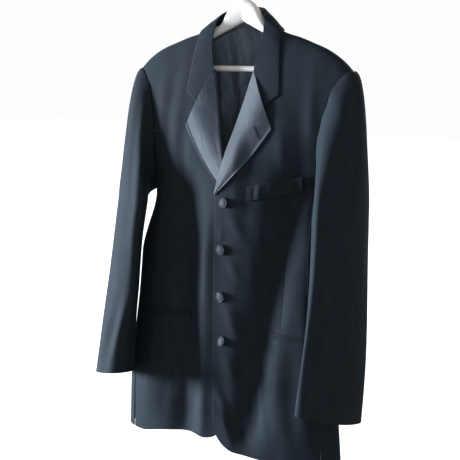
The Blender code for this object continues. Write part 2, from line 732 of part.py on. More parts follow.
def place_turned(name, mesh, point, normal, steps, parts):
    """A round piece: its half section, placed along a normal and turned by Screw."""
    piece = bpy.data.objects.new(name, mesh)
    if not mesh.materials:
        mesh.materials.append(material("button"))
    parts.objects.link(piece)
    piece.location = point
    piece.rotation_euler = Vector(normal).to_track_quat("Z", "Y").to_euler()
    screw = piece.modifiers.new("turn", "SCREW")
    screw.axis = "Z"
    screw.steps = steps
    screw.render_steps = steps
    screw.use_merge_vertices = True
    screw.merge_threshold = 0.00001
    screw.use_smooth_shade = True
    return piece


def buttons(parts):
    mesh = half_section("front_button", BUTTON_RADIUS, BUTTON_THICK, BUTTON_PROFILE)
    for number, (x, drop) in enumerate(BUTTONS, 1):
        z = SHOULDER_Z - drop
        x = np.array(x)
        point = on_front(1, x, z, BUTTON_SEAT)
        normal = moved_out(-1, x, level_at(-1, x, z), 0 * x)[1]
        place_turned(f"button_{number}", mesh, point, normal, BUTTON_STEPS, parts)
    flatter = BUTTON_PROFILE[:1] + BUTTON_PROFILE[2:]
    small = half_section("cuff_button", CUFF_BUTTON_RADIUS, CUFF_BUTTON_THICK, flatter)
    for hand, word in ((1, "left"), (-1, "right")):
        for number, rise in enumerate(CUFF_BUTTON_RISES, 1):
            run = 2 - rise / (SLEEVE[-1][0] - SLEEVE[0][0])
            here = sleeve_point(hand, CUFF_BUTTON_TURN, run)
            around = sleeve_point(hand, CUFF_BUTTON_TURN + 1, run) - here
            down = sleeve_point(hand, CUFF_BUTTON_TURN, run + 0.01) - here
            normal = np.cross(down, around)
            normal /= np.linalg.norm(normal)
            mirror = np.array([hand, 1, 1])
            point = (here + normal * CUFF_BUTTON_SEAT) * mirror
            name = f"cuff_button_{word}_{number}"
            place_turned(name, small, point, normal * mirror, CUFF_BUTTON_STEPS, parts)


def arm_top_z(x):
    """Upper edge of the hanger: a raised middle, then just under the cloth of the shoulders."""
    seat = shoulder_z(x) - WALL - ARM_SEAT
    middle = SHOULDER_Z + along(ARM_TOP, 1, np.abs(x))
    share = eased((np.abs(x) - ARM_TOP[-2][0]) / (ARM_TOP[-1][0] - ARM_TOP[-2][0]))
    return middle + (seat - middle) * share


def hanger_arms(parts):
    """A loft of rounded sections from tip to tip, bent forward along the shoulder line."""
    half = np.concatenate([[0.0], np.linspace(0.012, ARM_END_X - 0.006, 17), [ARM_END_X]])
    x = np.concatenate([-half[:0:-1], half])
    turn = np.linspace(0, 2 * math.pi, ARM_SECTION_POINTS, endpoint=False)
    top = arm_top_z(x)
    foot = SHOULDER_Z + along(ARM_FOOT, 1, np.abs(x))
    end = np.where(np.abs(x) > ARM_END_X - 0.001, 0.55, 1.0)
    depth = end * (ARM_HALF_DEPTH - ARM_TAPER * eased((np.abs(x) - 0.12) / (ARM_END_X - 0.12)))
    y = RIDGE_LEAN * np.abs(x) + ARM_SET_BACK + depth * np.cos(turn)[:, None]
    z = (top + foot) / 2 + (top - foot) / 2 * end * np.sin(turn)[:, None]
    points = np.stack([np.broadcast_to(x, y.shape), y, z], axis=-1)
    mesh = grid_mesh("hanger_arms", points.transpose(1, 0, 2), closed_round=True)
    work = bmesh.new()
    work.from_mesh(mesh)
    bmesh.ops.holes_fill(work, edges=[edge for edge in work.edges if edge.is_boundary], sides=0)
    bmesh.ops.recalc_face_normals(work, faces=work.faces)
    work.to_mesh(mesh)
    work.free()
    mesh.shade_smooth()
    add("hanger_arms", mesh, "painted_wood", parts)


def rod(name, points, radius, finish, parts):
    """A round rod or wire through the points, with closed ends."""
    curve = bpy.data.curves.new(name, "CURVE")
    curve.dimensions = "3D"
    curve.bevel_depth = radius
    curve.bevel_resolution = 3
    curve.use_fill_caps = True
    spline = curve.splines.new("POLY")
    spline.points.add(len(points) - 1)
    for place, point in zip(spline.points, points):
        place.co = (*point, 1.0)
    add(name, curve, finish, parts)


def hanger(parts):
    hanger_arms(parts)
    bar_y = RIDGE_LEAN * BAR_END_X
    ends = [(hand * BAR_END_X, bar_y, BAR_Z) for hand in (-1, 1)]
    rod("hanger_bar", ends, BAR_RADIUS, "painted_wood", parts)
    reach = HOOK_INNER + HOOK_WIRE
    foot = SHOULDER_Z + ARM_TOP[0][1] + SEAM
    turns = np.radians(np.linspace(*HOOK_TURNS, 19))
    loop = [(reach * math.cos(t), 0, -HOOK_INNER + reach * math.sin(t)) for t in turns]
    rod("hanger_hook", [(0, 0, foot), *HOOK_NECK, *loop], HOOK_WIRE, "hook_steel", parts)


def lining(parts):
    """The lining that shows inside the back: the back's own points, moved in, across both halves."""
    levels = body_rows()[1]
    kept = np.flatnonzero((levels > -LINING_DEPTH) & (levels < LINING_TOP_LEVEL))
    widths = np.array([0.0, 0.018, 0.036, 0.056, 0.076, 0.096, 0.112])
    x = np.concatenate([-widths[:0:-1], widths])
    levels = levels[kept]
    grid_x = np.broadcast_to(x, (len(levels), len(x)))
    grid_level = np.broadcast_to(levels[:, None], grid_x.shape)
    points = moved_out(1, grid_x, grid_level, np.full(grid_x.shape, -(WALL + LINING_CLEAR)))[0]
    cloth("lining_back", points, "lining", parts, LINING_WALL, flip=True)


def build():
    for old in list(bpy.data.objects):
        bpy.data.objects.remove(old, do_unlink=True)
    parts = bpy.data.collections.new("dinner_jacket")
    bpy.context.scene.collection.children.link(parts)
    for hand, word in ((1, "left"), (-1, "right")):
        cloth(f"front_{word}", front_grid(hand), "wool", parts, flip=hand < 0)
        cloth(f"back_{word}", back_grid(hand), "wool", parts, flip=hand > 0)
        cloth(f"side_{word}", side_grid(hand), "wool", parts, flip=hand < 0)
        cloth(f"sleeve_{word}_upper", sleeve_grid(hand, UPPER_TURNS), "wool", parts, flip=hand > 0)
        cloth(f"sleeve_{word}_under", sleeve_grid(hand, UNDER_TURNS), "wool", parts, flip=hand > 0)
        cloth(f"lapel_{word}", lapel_grid(hand), "satin", parts, FACING_WALL, flip=hand < 0)
    collar = add("collar", collar_mesh("collar"), "wool", parts)
    collar.data.shade_smooth()
    wall = collar.modifiers.new("wall", "SOLIDIFY")
    wall.thickness = FACING_WALL
    wall.offset = -1.0
    wall.use_quality_normals = True
    welt = patch_grid(WELT, WELT_HEIGHT, 6, (0, 0.04, 0.5, 0.96, 1), (0.0043, 0.0045, 0.0045, 0.0045, 0.0043))
    cloth("breast_welt", welt, "wool", parts, 0.0028)
    lips = (0, 0.1, 0.42, 0.5, 0.58, 0.9, 1)
    heights = np.array((0.0022, 0.0030, 0.0030, 0.0020, 0.0030, 0.0030, 0.0022)) + 0.0006
    for word, ends in (("left", POCKET_LEFT), ("right", POCKET_RIGHT)):
        jetting = patch_grid(ends, JETTING_HEIGHT, 6, lips, heights)
        cloth(f"hip_jetting_{word}", jetting, "wool", parts, 0.0012, flip=word == "right")
    buttons(parts)
    hanger(parts)
    lining(parts)


build()
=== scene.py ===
# %% [markdown]
# # A dinner jacket on its hanger
#
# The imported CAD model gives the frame: every solid of the jacket in metres, the wearer's left at +X, the
# front towards -Y, the origin at the inner top of the hook. This script dresses that frame. It works the
# same cut out again on fine grids, adds the creases, seams, satin and stitching, and lights it as a plain
# studio would.

# %% Load the frame
import math

import bpy
import numpy as np
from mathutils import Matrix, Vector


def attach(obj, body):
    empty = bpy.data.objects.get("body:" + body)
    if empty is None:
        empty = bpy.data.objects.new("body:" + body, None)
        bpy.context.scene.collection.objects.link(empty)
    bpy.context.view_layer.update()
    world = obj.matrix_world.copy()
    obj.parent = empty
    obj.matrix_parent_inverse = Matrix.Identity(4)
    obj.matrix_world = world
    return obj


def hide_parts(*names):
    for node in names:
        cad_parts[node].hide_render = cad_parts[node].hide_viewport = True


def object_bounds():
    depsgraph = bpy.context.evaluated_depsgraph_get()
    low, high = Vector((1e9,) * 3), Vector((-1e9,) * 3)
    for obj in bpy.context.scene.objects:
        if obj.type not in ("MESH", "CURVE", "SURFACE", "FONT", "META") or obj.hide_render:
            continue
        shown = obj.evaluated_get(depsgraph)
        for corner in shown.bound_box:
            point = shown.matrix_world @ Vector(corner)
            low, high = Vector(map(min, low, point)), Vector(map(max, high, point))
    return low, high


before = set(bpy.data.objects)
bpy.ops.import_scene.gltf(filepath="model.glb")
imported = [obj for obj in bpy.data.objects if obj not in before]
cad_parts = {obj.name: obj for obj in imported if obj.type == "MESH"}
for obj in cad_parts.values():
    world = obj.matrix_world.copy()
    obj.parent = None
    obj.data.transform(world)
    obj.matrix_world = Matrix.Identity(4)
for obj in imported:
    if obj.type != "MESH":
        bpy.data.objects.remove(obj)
cad_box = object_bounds()
print("solids in the frame:", len(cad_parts))

# %% [markdown]
# ## The cut
#
# A jacket on a hanger is a flattened tube. Its rings are squashed ovals whose sizes change from the chest
# to the hem, and over the shoulders a curve carries each ring's point up to the shoulder seam. The tables
# below hold the sizes a tailor would measure on the hanging garment, in metres, with drops counted down
# from the shoulder tips. A smooth curve through each column gives every size in between.

# %% Sizes and tables
SHOULDER_Z = -0.205
CHEST_TOP_Z = SHOULDER_Z - 0.08
BREAK_Z = SHOULDER_Z - 0.237
ARMHOLE_LOW_Z = SHOULDER_Z - 0.20
WALL = 0.0020
FACING_WALL = 0.0016
ARMHOLE_GAP = 0.0021
ARMHOLE_TUCK = 0.0022
FRONT_EDGE_X = -0.0135
OVERLAP_LIFT = 0.0032
BREAK_LIFT = 0.0040
LAP_END_X = 0.062
LAP_EASE = 0.035
BREAK_REACH = 0.06
BREAK_FADE = 0.08
ARMHOLE_DIP = 0.040
NECK_POINT_X = 0.070
CORNER_RADIUS = 0.055
HEM_SHARE = 0.75
SIDE_SEAM_SHARE = 0.90
BACK_SEAM_SHARE = 0.80
FRONT_FULLNESS = 1.3
BACK_FULLNESS = 2.2
RIDGE_LEAN = -0.0625
RIDGE_GAP = 0.0004

# One row a level: drop, half width, middle y, front depth, back depth, squareness
BODY = (
    (0.080, 0.270, -0.004, 0.047, 0.053, 2.2),
    (0.120, 0.250, -0.005, 0.056, 0.056, 2.2),
    (0.160, 0.232, -0.007, 0.061, 0.058, 2.2),
    (0.200, 0.208, -0.009, 0.064, 0.058, 2.25),
    (0.240, 0.199, -0.012, 0.064, 0.058, 2.3),
    (0.320, 0.197, -0.017, 0.063, 0.056, 2.4),
    (0.420, 0.202, -0.022, 0.061, 0.054, 2.5),
    (0.520, 0.213, -0.027, 0.059, 0.052, 2.5),
    (0.630, 0.232, -0.034, 0.055, 0.050, 2.5),
    (0.780, 0.249, -0.041, 0.050, 0.050, 2.4),
)
# One row a place on the shoulder line: x, height over the shoulder tips
SHOULDER = (
    (0.000, 0.106),
    (0.050, 0.093),
    (0.090, 0.073),
    (0.124, 0.063),
    (0.156, 0.052),
    (0.187, 0.040),
    (0.205, 0.030),
    (0.221, 0.0185),
    (0.233, 0.0075),
    (0.240, 0.0000),
)
# One row a level of the armhole edge: drop, x on the front, x on the back
ARMHOLE = (
    (0.080, 0.1930, 0.2030),
    (0.110, 0.1875, 0.1985),
    (0.150, 0.1845, 0.1930),
    (0.200, 0.1872, 0.1664),
)
# One row a turn of the armhole edge over the shoulder: degrees, x on the front, x on the back
ARMHOLE_TOP = (
    (0.0, 0.1930, 0.2030),
    (30.0, 0.2075, 0.2150),
    (60.0, 0.2290, 0.2310),
    (90.0, 0.2400, 0.2400),
)
# One row a turn of the neck edge over the shoulder: degrees, x on the front
NECK_EDGE = (
    (0.0, 0.0240),
    (28.0, 0.0460),
    (45.0, 0.0590),
    (65.0, 0.0680),
    (90.0, 0.0700),
)
# One row a large fold: side (front -1, back 1), x at the top, x at the foot, spread,
# depth into the body, level of its top and of its foot
FOLDS = (
    (-1, 0.155, 0.052, 0.034, 0.019, 0.14, 0.76),
    (-1, -0.085, -0.095, 0.036, 0.017, 0.16, 0.80),
    (-1, 0.190, 0.190, 0.022, -0.007, 0.24, 0.74),
    (-1, -0.030, -0.045, 0.020, -0.004, 0.26, 0.80),
    (1, 0.125, 0.110, 0.026, 0.018, 0.12, 0.84),
    (1, -0.120, -0.125, 0.028, 0.020, 0.10, 0.84),
    (1, 0.050, 0.030, 0.022, 0.008, 0.24, 0.84),
    (1, -0.045, -0.060, 0.022, 0.010, 0.20, 0.84),
)
FOLD_FADE = 0.10
# One row a place on the hem: x share of the half width, drop on the left and on the right
HEM = (
    (0.00, 0.746, 0.733),
    (0.30, 0.749, 0.732),
    (0.60, 0.752, 0.742),
    (0.85, 0.757, 0.757),
    (1.00, 0.757, 0.757),
)
HEM_BACK_DROP = 0.757
# The right side hangs fuller: by how much, the drops where that starts, is reached, eases off and
# ends, and the share by which it eases off
RIGHT_EASE = 0.034
RIGHT_EASE_DROPS = (0.24, 0.38, 0.50, 0.80)
RIGHT_EASE_LOSS = 0.6
# One row a level of the left sleeve: drop, centre x, centre y, half length, half breadth, turn in degrees
SLEEVE = (
    (0.265, 0.2415, -0.046, 0.083, 0.0375, 86.0),
    (0.330, 0.2455, -0.054, 0.079, 0.0365, 82.0),
    (0.410, 0.2500, -0.066, 0.075, 0.0350, 76.0),
    (0.520, 0.2540, -0.087, 0.073, 0.0340, 68.0),
    (0.624, 0.2545, -0.107, 0.071, 0.0340, 62.0),
)
# The same for the right sleeve, which hangs with its outer face turned further to the front
SLEEVE_RIGHT = (
    (0.265, 0.2410, -0.0500, 0.080, 0.0275, 39.0),
    (0.330, 0.2400, -0.0675, 0.079, 0.0260, 37.5),
    (0.410, 0.2470, -0.0740, 0.077, 0.0280, 36.2),
    (0.520, 0.2499, -0.0920, 0.073, 0.0335, 38.9),
    (0.624, 0.2480, -0.1110, 0.071, 0.0400, 44.6),
)
CUFF_SLANT = 0.017
CUFF_SLANT_START = 0.45
SLEEVE_FLATNESS = 0.22
UPPER_TURNS = (-82.0, 112.0)
UNDER_TURNS = (112.0, 278.0)
# One row a direction round the sleeve head: degrees, and the way the cloth leaves the armhole there
HEAD = (
    (0.0, 0.090, 0.000, 0.012),
    (45.0, 0.080, -0.045, 0.006),
    (90.0, 0.055, -0.075, -0.010),
    (135.0, 0.035, -0.050, -0.020),
    (180.0, 0.012, -0.002, -0.022),
    (225.0, 0.045, 0.035, -0.010),
    (270.0, 0.060, 0.045, -0.005),
    (315.0, 0.080, 0.020, 0.006),
    (360.0, 0.090, 0.000, 0.012),
)
# One row a place along half the collar, from the middle of the back: share of the half length,
# the fold (x, y, height over the shoulder tips), and the outer edge (x, height)
COLLAR = (
    (0.00, 0.000, 0.034, 0.123, 0.000, 0.080),
    (0.14, 0.026, 0.029, 0.120, 0.040, 0.076),
    (0.28, 0.042, 0.008, 0.114, 0.078, 0.074),
    (0.40, 0.048, -0.009, 0.103, 0.092, 0.074),
    (0.55, 0.055, -0.021, 0.066, 0.097, 0.043),
    (0.70, 0.049, -0.032, 0.022, 0.102, 0.004),
    (0.78, 0.046, -0.033, 0.002, 0.104, -0.014),
    (1.00, 0.078, -0.050, -0.068, 0.107, -0.045),
)
COLLAR_GORGE_SHARE = 0.78
COLLAR_SHOULDER_SHARE = 0.40
COLLAR_CLEAR = 0.0018
CLEAR_REACH = 0.012
COLLAR_ROLL = 0.004
STAND_START = 0.10
GORGE = (0.046, 0.001)
LAPEL_TIP = (0.099, -0.107)
LAPEL_BELLY = 0.006
LAPEL_ROLL = 0.006
LAPEL_CLEAR = 0.0009
# The darts, left (1) and right (-1): x, drop of the top and of the foot; and the share of a front's
# width at which its grid keeps to the dart
DARTS = {1: (0.129, 0.287, 0.489), -1: (0.0955, 0.303, 0.483)}
DART_U = 0.62
# The front buttons from the top: x, drop
BUTTONS = ((0.0095, 0.249), (0.0035, 0.341), (0.0043, 0.434), (0.0087, 0.523))
WELT = ((0.056, 0.243), (0.1605, 0.219))
WELT_HEIGHT = 0.029
POCKETS = {"left": ((0.104, 0.5065), (0.183, 0.5020)), "right": ((-0.080, 0.4910), (-0.190, 0.5010))}
JETTING_HEIGHT = 0.011
print("rings:", len(BODY), "folds:", len(FOLDS))

# %% [markdown]
# ## From tables to surfaces
#
# Each function below turns two numbers into a point of cloth, for whole arrays at once. `body_point` gives
# the front or back at an x and a level; `sleeve_point` gives the sleeve at a turn and a run; the panels
# are cut from them between their seams.

# %% Curves through the tables
def along(table, column, at):
    """A smooth curve through the table's column (cubic Hermite pieces with central slopes), read at a key."""
    keys = np.array([row[0] for row in table])
    values = np.array([row[column] for row in table])
    slopes = np.gradient(values, keys)
    at = np.clip(np.asarray(at, float), keys[0], keys[-1])
    low = np.clip(np.searchsorted(keys, at, side="right") - 1, 0, len(keys) - 2)
    step = keys[low + 1] - keys[low]
    t = (at - keys[low]) / step
    return (
        (2 * t**3 - 3 * t**2 + 1) * values[low]
        + (t**3 - 2 * t**2 + t) * step * slopes[low]
        + (3 * t**2 - 2 * t**3) * values[low + 1]
        + (t**3 - t**2) * step * slopes[low + 1]
    )


def eased(t):
    """0 below 0, 1 above 1, and a smooth step between."""
    t = np.clip(t, 0.0, 1.0)
    return t * t * (3 - 2 * t)

# %% The body's rings
def folds(side, x, z):
    """The large folds: each a bell curve across x, drifting sideways and fading at both ends along z."""
    drop = SHOULDER_Z - z
    total = np.zeros(np.broadcast(x, z).shape)
    for row_side, x_top, x_foot, spread, depth, top, foot in FOLDS:
        if row_side == side:
            share = np.clip((drop - top) / (foot - top), 0, 1)
            fade = eased((drop - top) / FOLD_FADE) * eased((foot - drop) / FOLD_FADE)
            total = total + depth * fade * np.exp(-(((x - x_top - (x_foot - x_top) * share) / spread) ** 2))
    return total


def half_width(x, drop):
    """Half width of the body on the side of x: the right side (x below 0) hangs fuller."""
    start, full, easing, end = RIGHT_EASE_DROPS
    loss = RIGHT_EASE_LOSS * eased((drop - easing) / (end - easing))
    ease = RIGHT_EASE * eased((drop - start) / (full - start)) * (1 - loss)
    return along(BODY, 1, drop) + np.where(np.asarray(x) < 0, ease, 0.0)


def ring_y(side, x, z):
    """y of the front (side -1) or back (1): a squared oval across x, with the folds pushed in."""
    drop = SHOULDER_Z - z
    square = along(BODY, 5, drop)
    depth = along(BODY, 3 if side < 0 else 4, drop)
    share = np.clip(1 - np.abs(x / half_width(x, drop)) ** square, 0, 1) ** (1 / square)
    return along(BODY, 2, drop) + side * (depth * share - folds(side, x, z) * np.minimum(1, share * 2))


def shoulder_z(x):
    return SHOULDER_Z + along(SHOULDER, 1, np.abs(x))


def body_point(side, x, level):
    """A point of the body. Below the chest top the level is z under it; above, it runs 0 to 1 on a Hermite
    curve that leaves the ring along its own slope and arrives flat at the shoulder seam."""
    x, level = np.broadcast_arrays(np.asarray(x, float), np.asarray(level, float))
    z = CHEST_TOP_Z + np.minimum(level, 0)
    y = ring_y(side, x, z)
    t = np.clip(level, 0, 1)
    leave, arrive = (t**3 - 2 * t**2 + t), (t**2 - t**3)
    first, last = (2 * t**3 - 3 * t**2 + 1), (3 * t**2 - 2 * t**3)
    full = BACK_FULLNESS if side > 0 else FRONT_FULLNESS
    rise = shoulder_z(x) - CHEST_TOP_Z
    lean = (ring_y(side, x, CHEST_TOP_Z) - ring_y(side, x, CHEST_TOP_Z - 0.002)) / 0.002
    ridge = RIDGE_LEAN * np.abs(x) + side * RIDGE_GAP
    over = ridge * last + y * first + (y - ridge) * full * arrive + lean * rise * full * leave
    y = np.where(level > 0, over, y)
    z = np.where(level > 0, CHEST_TOP_Z + rise * (last + full * leave), z)
    return np.stack([x, y, z], axis=-1)


def level_at(side, x, z):
    """The level at which body_point reaches a height."""
    t = np.linspace(0, 1, 200)
    full = BACK_FULLNESS if side > 0 else FRONT_FULLNESS
    climb = 3 * t**2 - 2 * t**3 + full * (t**3 - 2 * t**2 + t)
    share = np.clip((z - CHEST_TOP_Z) / (shoulder_z(x) - CHEST_TOP_Z), 0, 1)
    return np.where(z <= CHEST_TOP_Z, z - CHEST_TOP_Z, np.interp(share, climb, t))


def skin(side, x, level):
    """A point of the body and its outward unit normal, from central differences."""
    step = 0.001
    across = body_point(side, x + step, level) - body_point(side, x - step, level)
    upward = body_point(side, x, level + step) - body_point(side, x, level - step)
    normal = -side * np.cross(across, upward)
    normal /= np.maximum(np.linalg.norm(normal, axis=-1, keepdims=True), 1e-12)
    return body_point(side, x, level), normal

# %% Where the panels are cut
def inner_x(level):
    """x of a front's inner edge: front edge, roll line, neck."""
    z = CHEST_TOP_Z + np.minimum(level, 0)
    roll = FRONT_EDGE_X + (NECK_EDGE[0][1] - FRONT_EDGE_X) * (z - BREAK_Z) / (CHEST_TOP_Z - BREAK_Z)
    return np.where(level > 0, along(NECK_EDGE, 1, np.clip(level, 0, 1) * 90), np.maximum(roll, FRONT_EDGE_X))


def armhole_x(side, level):
    column = 1 if side < 0 else 2
    low = along(ARMHOLE, column, SHOULDER_Z - CHEST_TOP_Z - np.minimum(level, 0))
    return np.where(level > 0, along(ARMHOLE_TOP, column, np.clip(level, 0, 1) * 90), low)


def outer_x(hand, side, level):
    """Distance of the outer edge from the middle: the side seam, then the armhole."""
    z = CHEST_TOP_Z + np.minimum(level, 0)
    share = SIDE_SEAM_SHARE if side < 0 else BACK_SEAM_SHARE
    return np.where(z > ARMHOLE_LOW_Z, armhole_x(side, level), share * half_width(hand, SHOULDER_Z - z))


def tuck(level):
    """How far a panel reaches under the sleeve's edge: nothing below the armhole, ARMHOLE_TUCK along it."""
    return ARMHOLE_TUCK * eased((CHEST_TOP_Z + np.minimum(level, 0) - ARMHOLE_LOW_Z) / 0.01)


def lift(x, z):
    """How far the left front stands off the right one where it laps over it."""
    near_break = eased((z - BREAK_Z) / BREAK_REACH + 1)
    above = 1 - eased((z - BREAK_Z - BREAK_REACH) / BREAK_FADE)
    return (OVERLAP_LIFT + BREAK_LIFT * near_break) * eased((LAP_END_X - x) / LAP_EASE) * above


def front_point(hand, u, v):
    """A front: u from its inner edge to the side, v from the hem (0) by the chest top (1) to the
    shoulder (2). One column, at DART_U, keeps to the dart. A quarter circle rounds the front corner."""
    u, v = np.broadcast_arrays(u, v)
    share = np.clip(1 - v, 0, 1)
    level = np.where(v < 1, share * (SHOULDER_Z - HEM_BACK_DROP - CHEST_TOP_Z), v - 1)
    first, last, dart = inner_x(level), outer_x(hand, -1, level) + tuck(level), DARTS[hand][0]
    before = first + (dart - first) * u / DART_U
    x = np.where(u < DART_U, before, dart + (last - dart) * (u - DART_U) / (1 - DART_U))
    column = 1 if hand > 0 else 2
    near = np.clip(1 - (x - FRONT_EDGE_X) / CORNER_RADIUS, 0, 1)
    corner = CORNER_RADIUS * (1 - np.sqrt(1 - near**2)) * np.clip((share - HEM_SHARE) / (1 - HEM_SHARE), 0, 1)
    hem = SHOULDER_Z - along(HEM, column, np.abs(x) / BODY[-1][1])
    z = CHEST_TOP_Z + (hem - CHEST_TOP_Z) * share + corner
    points = body_point(-1, hand * x, np.where(v < 1, z - CHEST_TOP_Z, level))
    if hand > 0:
        points[..., 1] -= lift(x, z)
    return points


def back_point(hand, u, v):
    """A back: u from the centre seam to the side, v from the hem to the shoulder, as in front_point."""
    u, v = np.broadcast_arrays(u, v)
    level = np.where(v < 1, (1 - v) * (SHOULDER_Z - HEM_BACK_DROP - CHEST_TOP_Z), v - 1)
    first = NECK_POINT_X * eased((level - 0.72) / 0.28)
    x = first + (outer_x(hand, 1, level) + tuck(level) - first) * u
    return body_point(1, hand * x, level)


def armhole_low_z(turn):
    return ARMHOLE_LOW_Z - ARMHOLE_DIP * np.sin(math.pi * np.clip(turn, 0, 1))


def side_point(hand, turn, z):
    """A side panel: turn runs from the front seam (0) to the back seam (1) round the squared oval."""
    drop = SHOULDER_Z - z
    square = along(BODY, 5, drop)
    start = np.arcsin(SIDE_SEAM_SHARE ** (square / 2))
    angle = start + (math.pi - np.arcsin(BACK_SEAM_SHARE ** (square / 2)) - start) * turn
    x = half_width(hand, drop) * np.abs(np.sin(angle)) ** (2 / square)
    share = np.abs(np.cos(angle)) ** (2 / square)
    ahead = np.cos(angle) > 0
    depth = np.where(ahead, -along(BODY, 3, drop), along(BODY, 4, drop))
    pushed = np.where(ahead, folds(-1, hand * x, z), -folds(1, hand * x, z))
    y = along(BODY, 2, drop) + depth * share + pushed * np.minimum(1, share * 2)
    return np.stack([hand * x, y, z], axis=-1)


print("fronts, backs and sides are ready; dart drops:", DARTS[1][1:], DARTS[-1][1:])

# %% The sleeve
def armhole_loop(hand, share):
    """Points round one armhole, as on the left, by share of its length from the shoulder down the front."""
    levels = np.concatenate([np.linspace(1, 0, 30), np.linspace(0, ARMHOLE_LOW_Z - CHEST_TOP_Z, 30)[1:-1]])
    turns = np.linspace(0, 1, 30)
    ahead = body_point(-1, hand * armhole_x(-1, levels), levels)
    behind = body_point(1, hand * armhole_x(1, levels), levels)[::-1]
    under = side_point(hand, turns, armhole_low_z(turns))
    loop = np.concatenate([ahead, under, behind]) * np.array([hand, 1, 1])
    lengths = np.concatenate([[0], np.cumsum(np.linalg.norm(np.diff(loop, axis=0), axis=1))])
    return np.stack([np.interp(share * lengths[-1], lengths, loop[:, i]) for i in range(3)], axis=-1)


def sleeve_ring(hand, turn, drop):
    """A flattened oval, tilted and slanted at the cuff: a point by its turn in degrees and its drop.
    Both sleeves are given as if on the left; the right one is mirrored where it is made."""
    table = SLEEVE if hand > 0 else SLEEVE_RIGHT
    angle = np.radians(turn)
    tilt = np.radians(along(table, 5, drop))
    long = along(table, 3, drop) * np.sin(angle)
    short = along(table, 4, drop) * np.cos(angle) * (1 - SLEEVE_FLATNESS * np.sin(angle) ** 2)
    x = along(table, 1, drop) - np.cos(tilt) * long + np.sin(tilt) * short
    y = along(table, 2, drop) - np.sin(tilt) * long - np.cos(tilt) * short
    cuff = eased((drop - CUFF_SLANT_START) / (table[-1][0] - CUFF_SLANT_START))
    return np.stack([x, y, SHOULDER_Z - drop + CUFF_SLANT * cuff * np.sin(angle)], axis=-1)


def sleeve_point(hand, turn, run):
    """One sleeve: run 0 to 1 is a Hermite curve from the armhole to the first ring, 1 to 2 the rings."""
    turn, run = np.broadcast_arrays(np.asarray(turn, float) % 360, np.asarray(run, float))
    under = 0.5 - 0.5 * np.cos(np.radians(turn))
    away = np.stack([1 + 0.4 * under, 0 * turn, 0.5 * under], axis=-1)
    start = armhole_loop(hand, turn / 360) + ARMHOLE_GAP * away
    first, last = SLEEVE[0][0], SLEEVE[-1][0]
    end = sleeve_ring(hand, turn, np.full(turn.shape, first))
    leave = np.stack([along(HEAD, i, turn) for i in (1, 2, 3)], axis=-1)
    arrive = np.array([0.02, -0.06, -1.0]) * np.linalg.norm(end - start, axis=-1, keepdims=True)
    t = np.clip(run, 0, 1)[..., None]
    head = (
        (2 * t**3 - 3 * t**2 + 1) * start
        + (t**3 - 2 * t**2 + t) * leave
        + (3 * t**2 - 2 * t**3) * end
        + (t**3 - t**2) * arrive
    )
    arm = sleeve_ring(hand, turn, first + (last - first) * np.clip(run - 1, 0, 1))
    return np.where(run[..., None] > 1, arm, head)


print("sleeve length along its outer side:", round(float(np.linalg.norm(
    np.diff(sleeve_point(1, np.full(80, 0.0), np.linspace(0, 2, 80)), axis=0), axis=1).sum()), 3), "m")

# %% [markdown]
# ## Creases
#
# Hanging cloth creases unevenly: it drags from the buttons, sags from the shoulders and keeps soft marks
# from wear. A simulation would invent its own, so each crease that shows is given as a row of a table:
# where it starts and ends, how wide and how high it is. A low, slow unevenness keeps the rest from
# looking ironed.

# %% Crease relief
def creases(table, across, down):
    """Height of all creases at (across, down) in metres: for each row, a bell curve of the distance to its
    segment, tallest in the middle of its length."""
    total = np.zeros(np.broadcast(across, down).shape)
    for across0, down0, across1, down1, width, height in table:
        run = np.array([across1 - across0, down1 - down0])
        t = ((across - across0) * run[0] + (down - down0) * run[1]) / (run @ run)
        t = np.clip(t, 0, 1)
        away = np.hypot(across - across0 - run[0] * t, down - down0 - run[1] * t)
        total = total + height * (0.3 + 0.7 * np.sin(math.pi * t)) * np.exp(-((away / width) ** 2))
    return total


def unevenness(across, down, seed, height=0.0007):
    """A slow wander: five crossed sine waves, longer down the cloth than across it, the long ones higher."""
    random = np.random.default_rng(seed)
    total = np.zeros(np.broadcast(across, down).shape)
    for wave in range(5):
        length = 0.05 * 1.5**wave
        phase, slant = random.uniform(0, 2 * math.pi), random.uniform(-0.35, 0.35)
        swing = 1.3 * np.sin(down * 9 + phase)
        total = total + 1.4**wave * np.sin((across + slant * down) * 2 * math.pi / length + phase + swing)
    return total * height / 5


def normals_of(points):
    """Unit normals of a grid, from the cross product of its two gradients."""
    normal = np.cross(np.gradient(points, axis=1), np.gradient(points, axis=0))
    return normal / np.maximum(np.linalg.norm(normal, axis=-1, keepdims=True), 1e-12)


def facing_away(points, middle):
    """The grid, with its columns reversed if need be so that its faces look away from a middle (x, y)."""
    outward = points[..., :2] - np.array(middle)
    looks = np.sum(normals_of(points)[..., :2] * outward)
    return points if looks > 0 else points[:, ::-1]


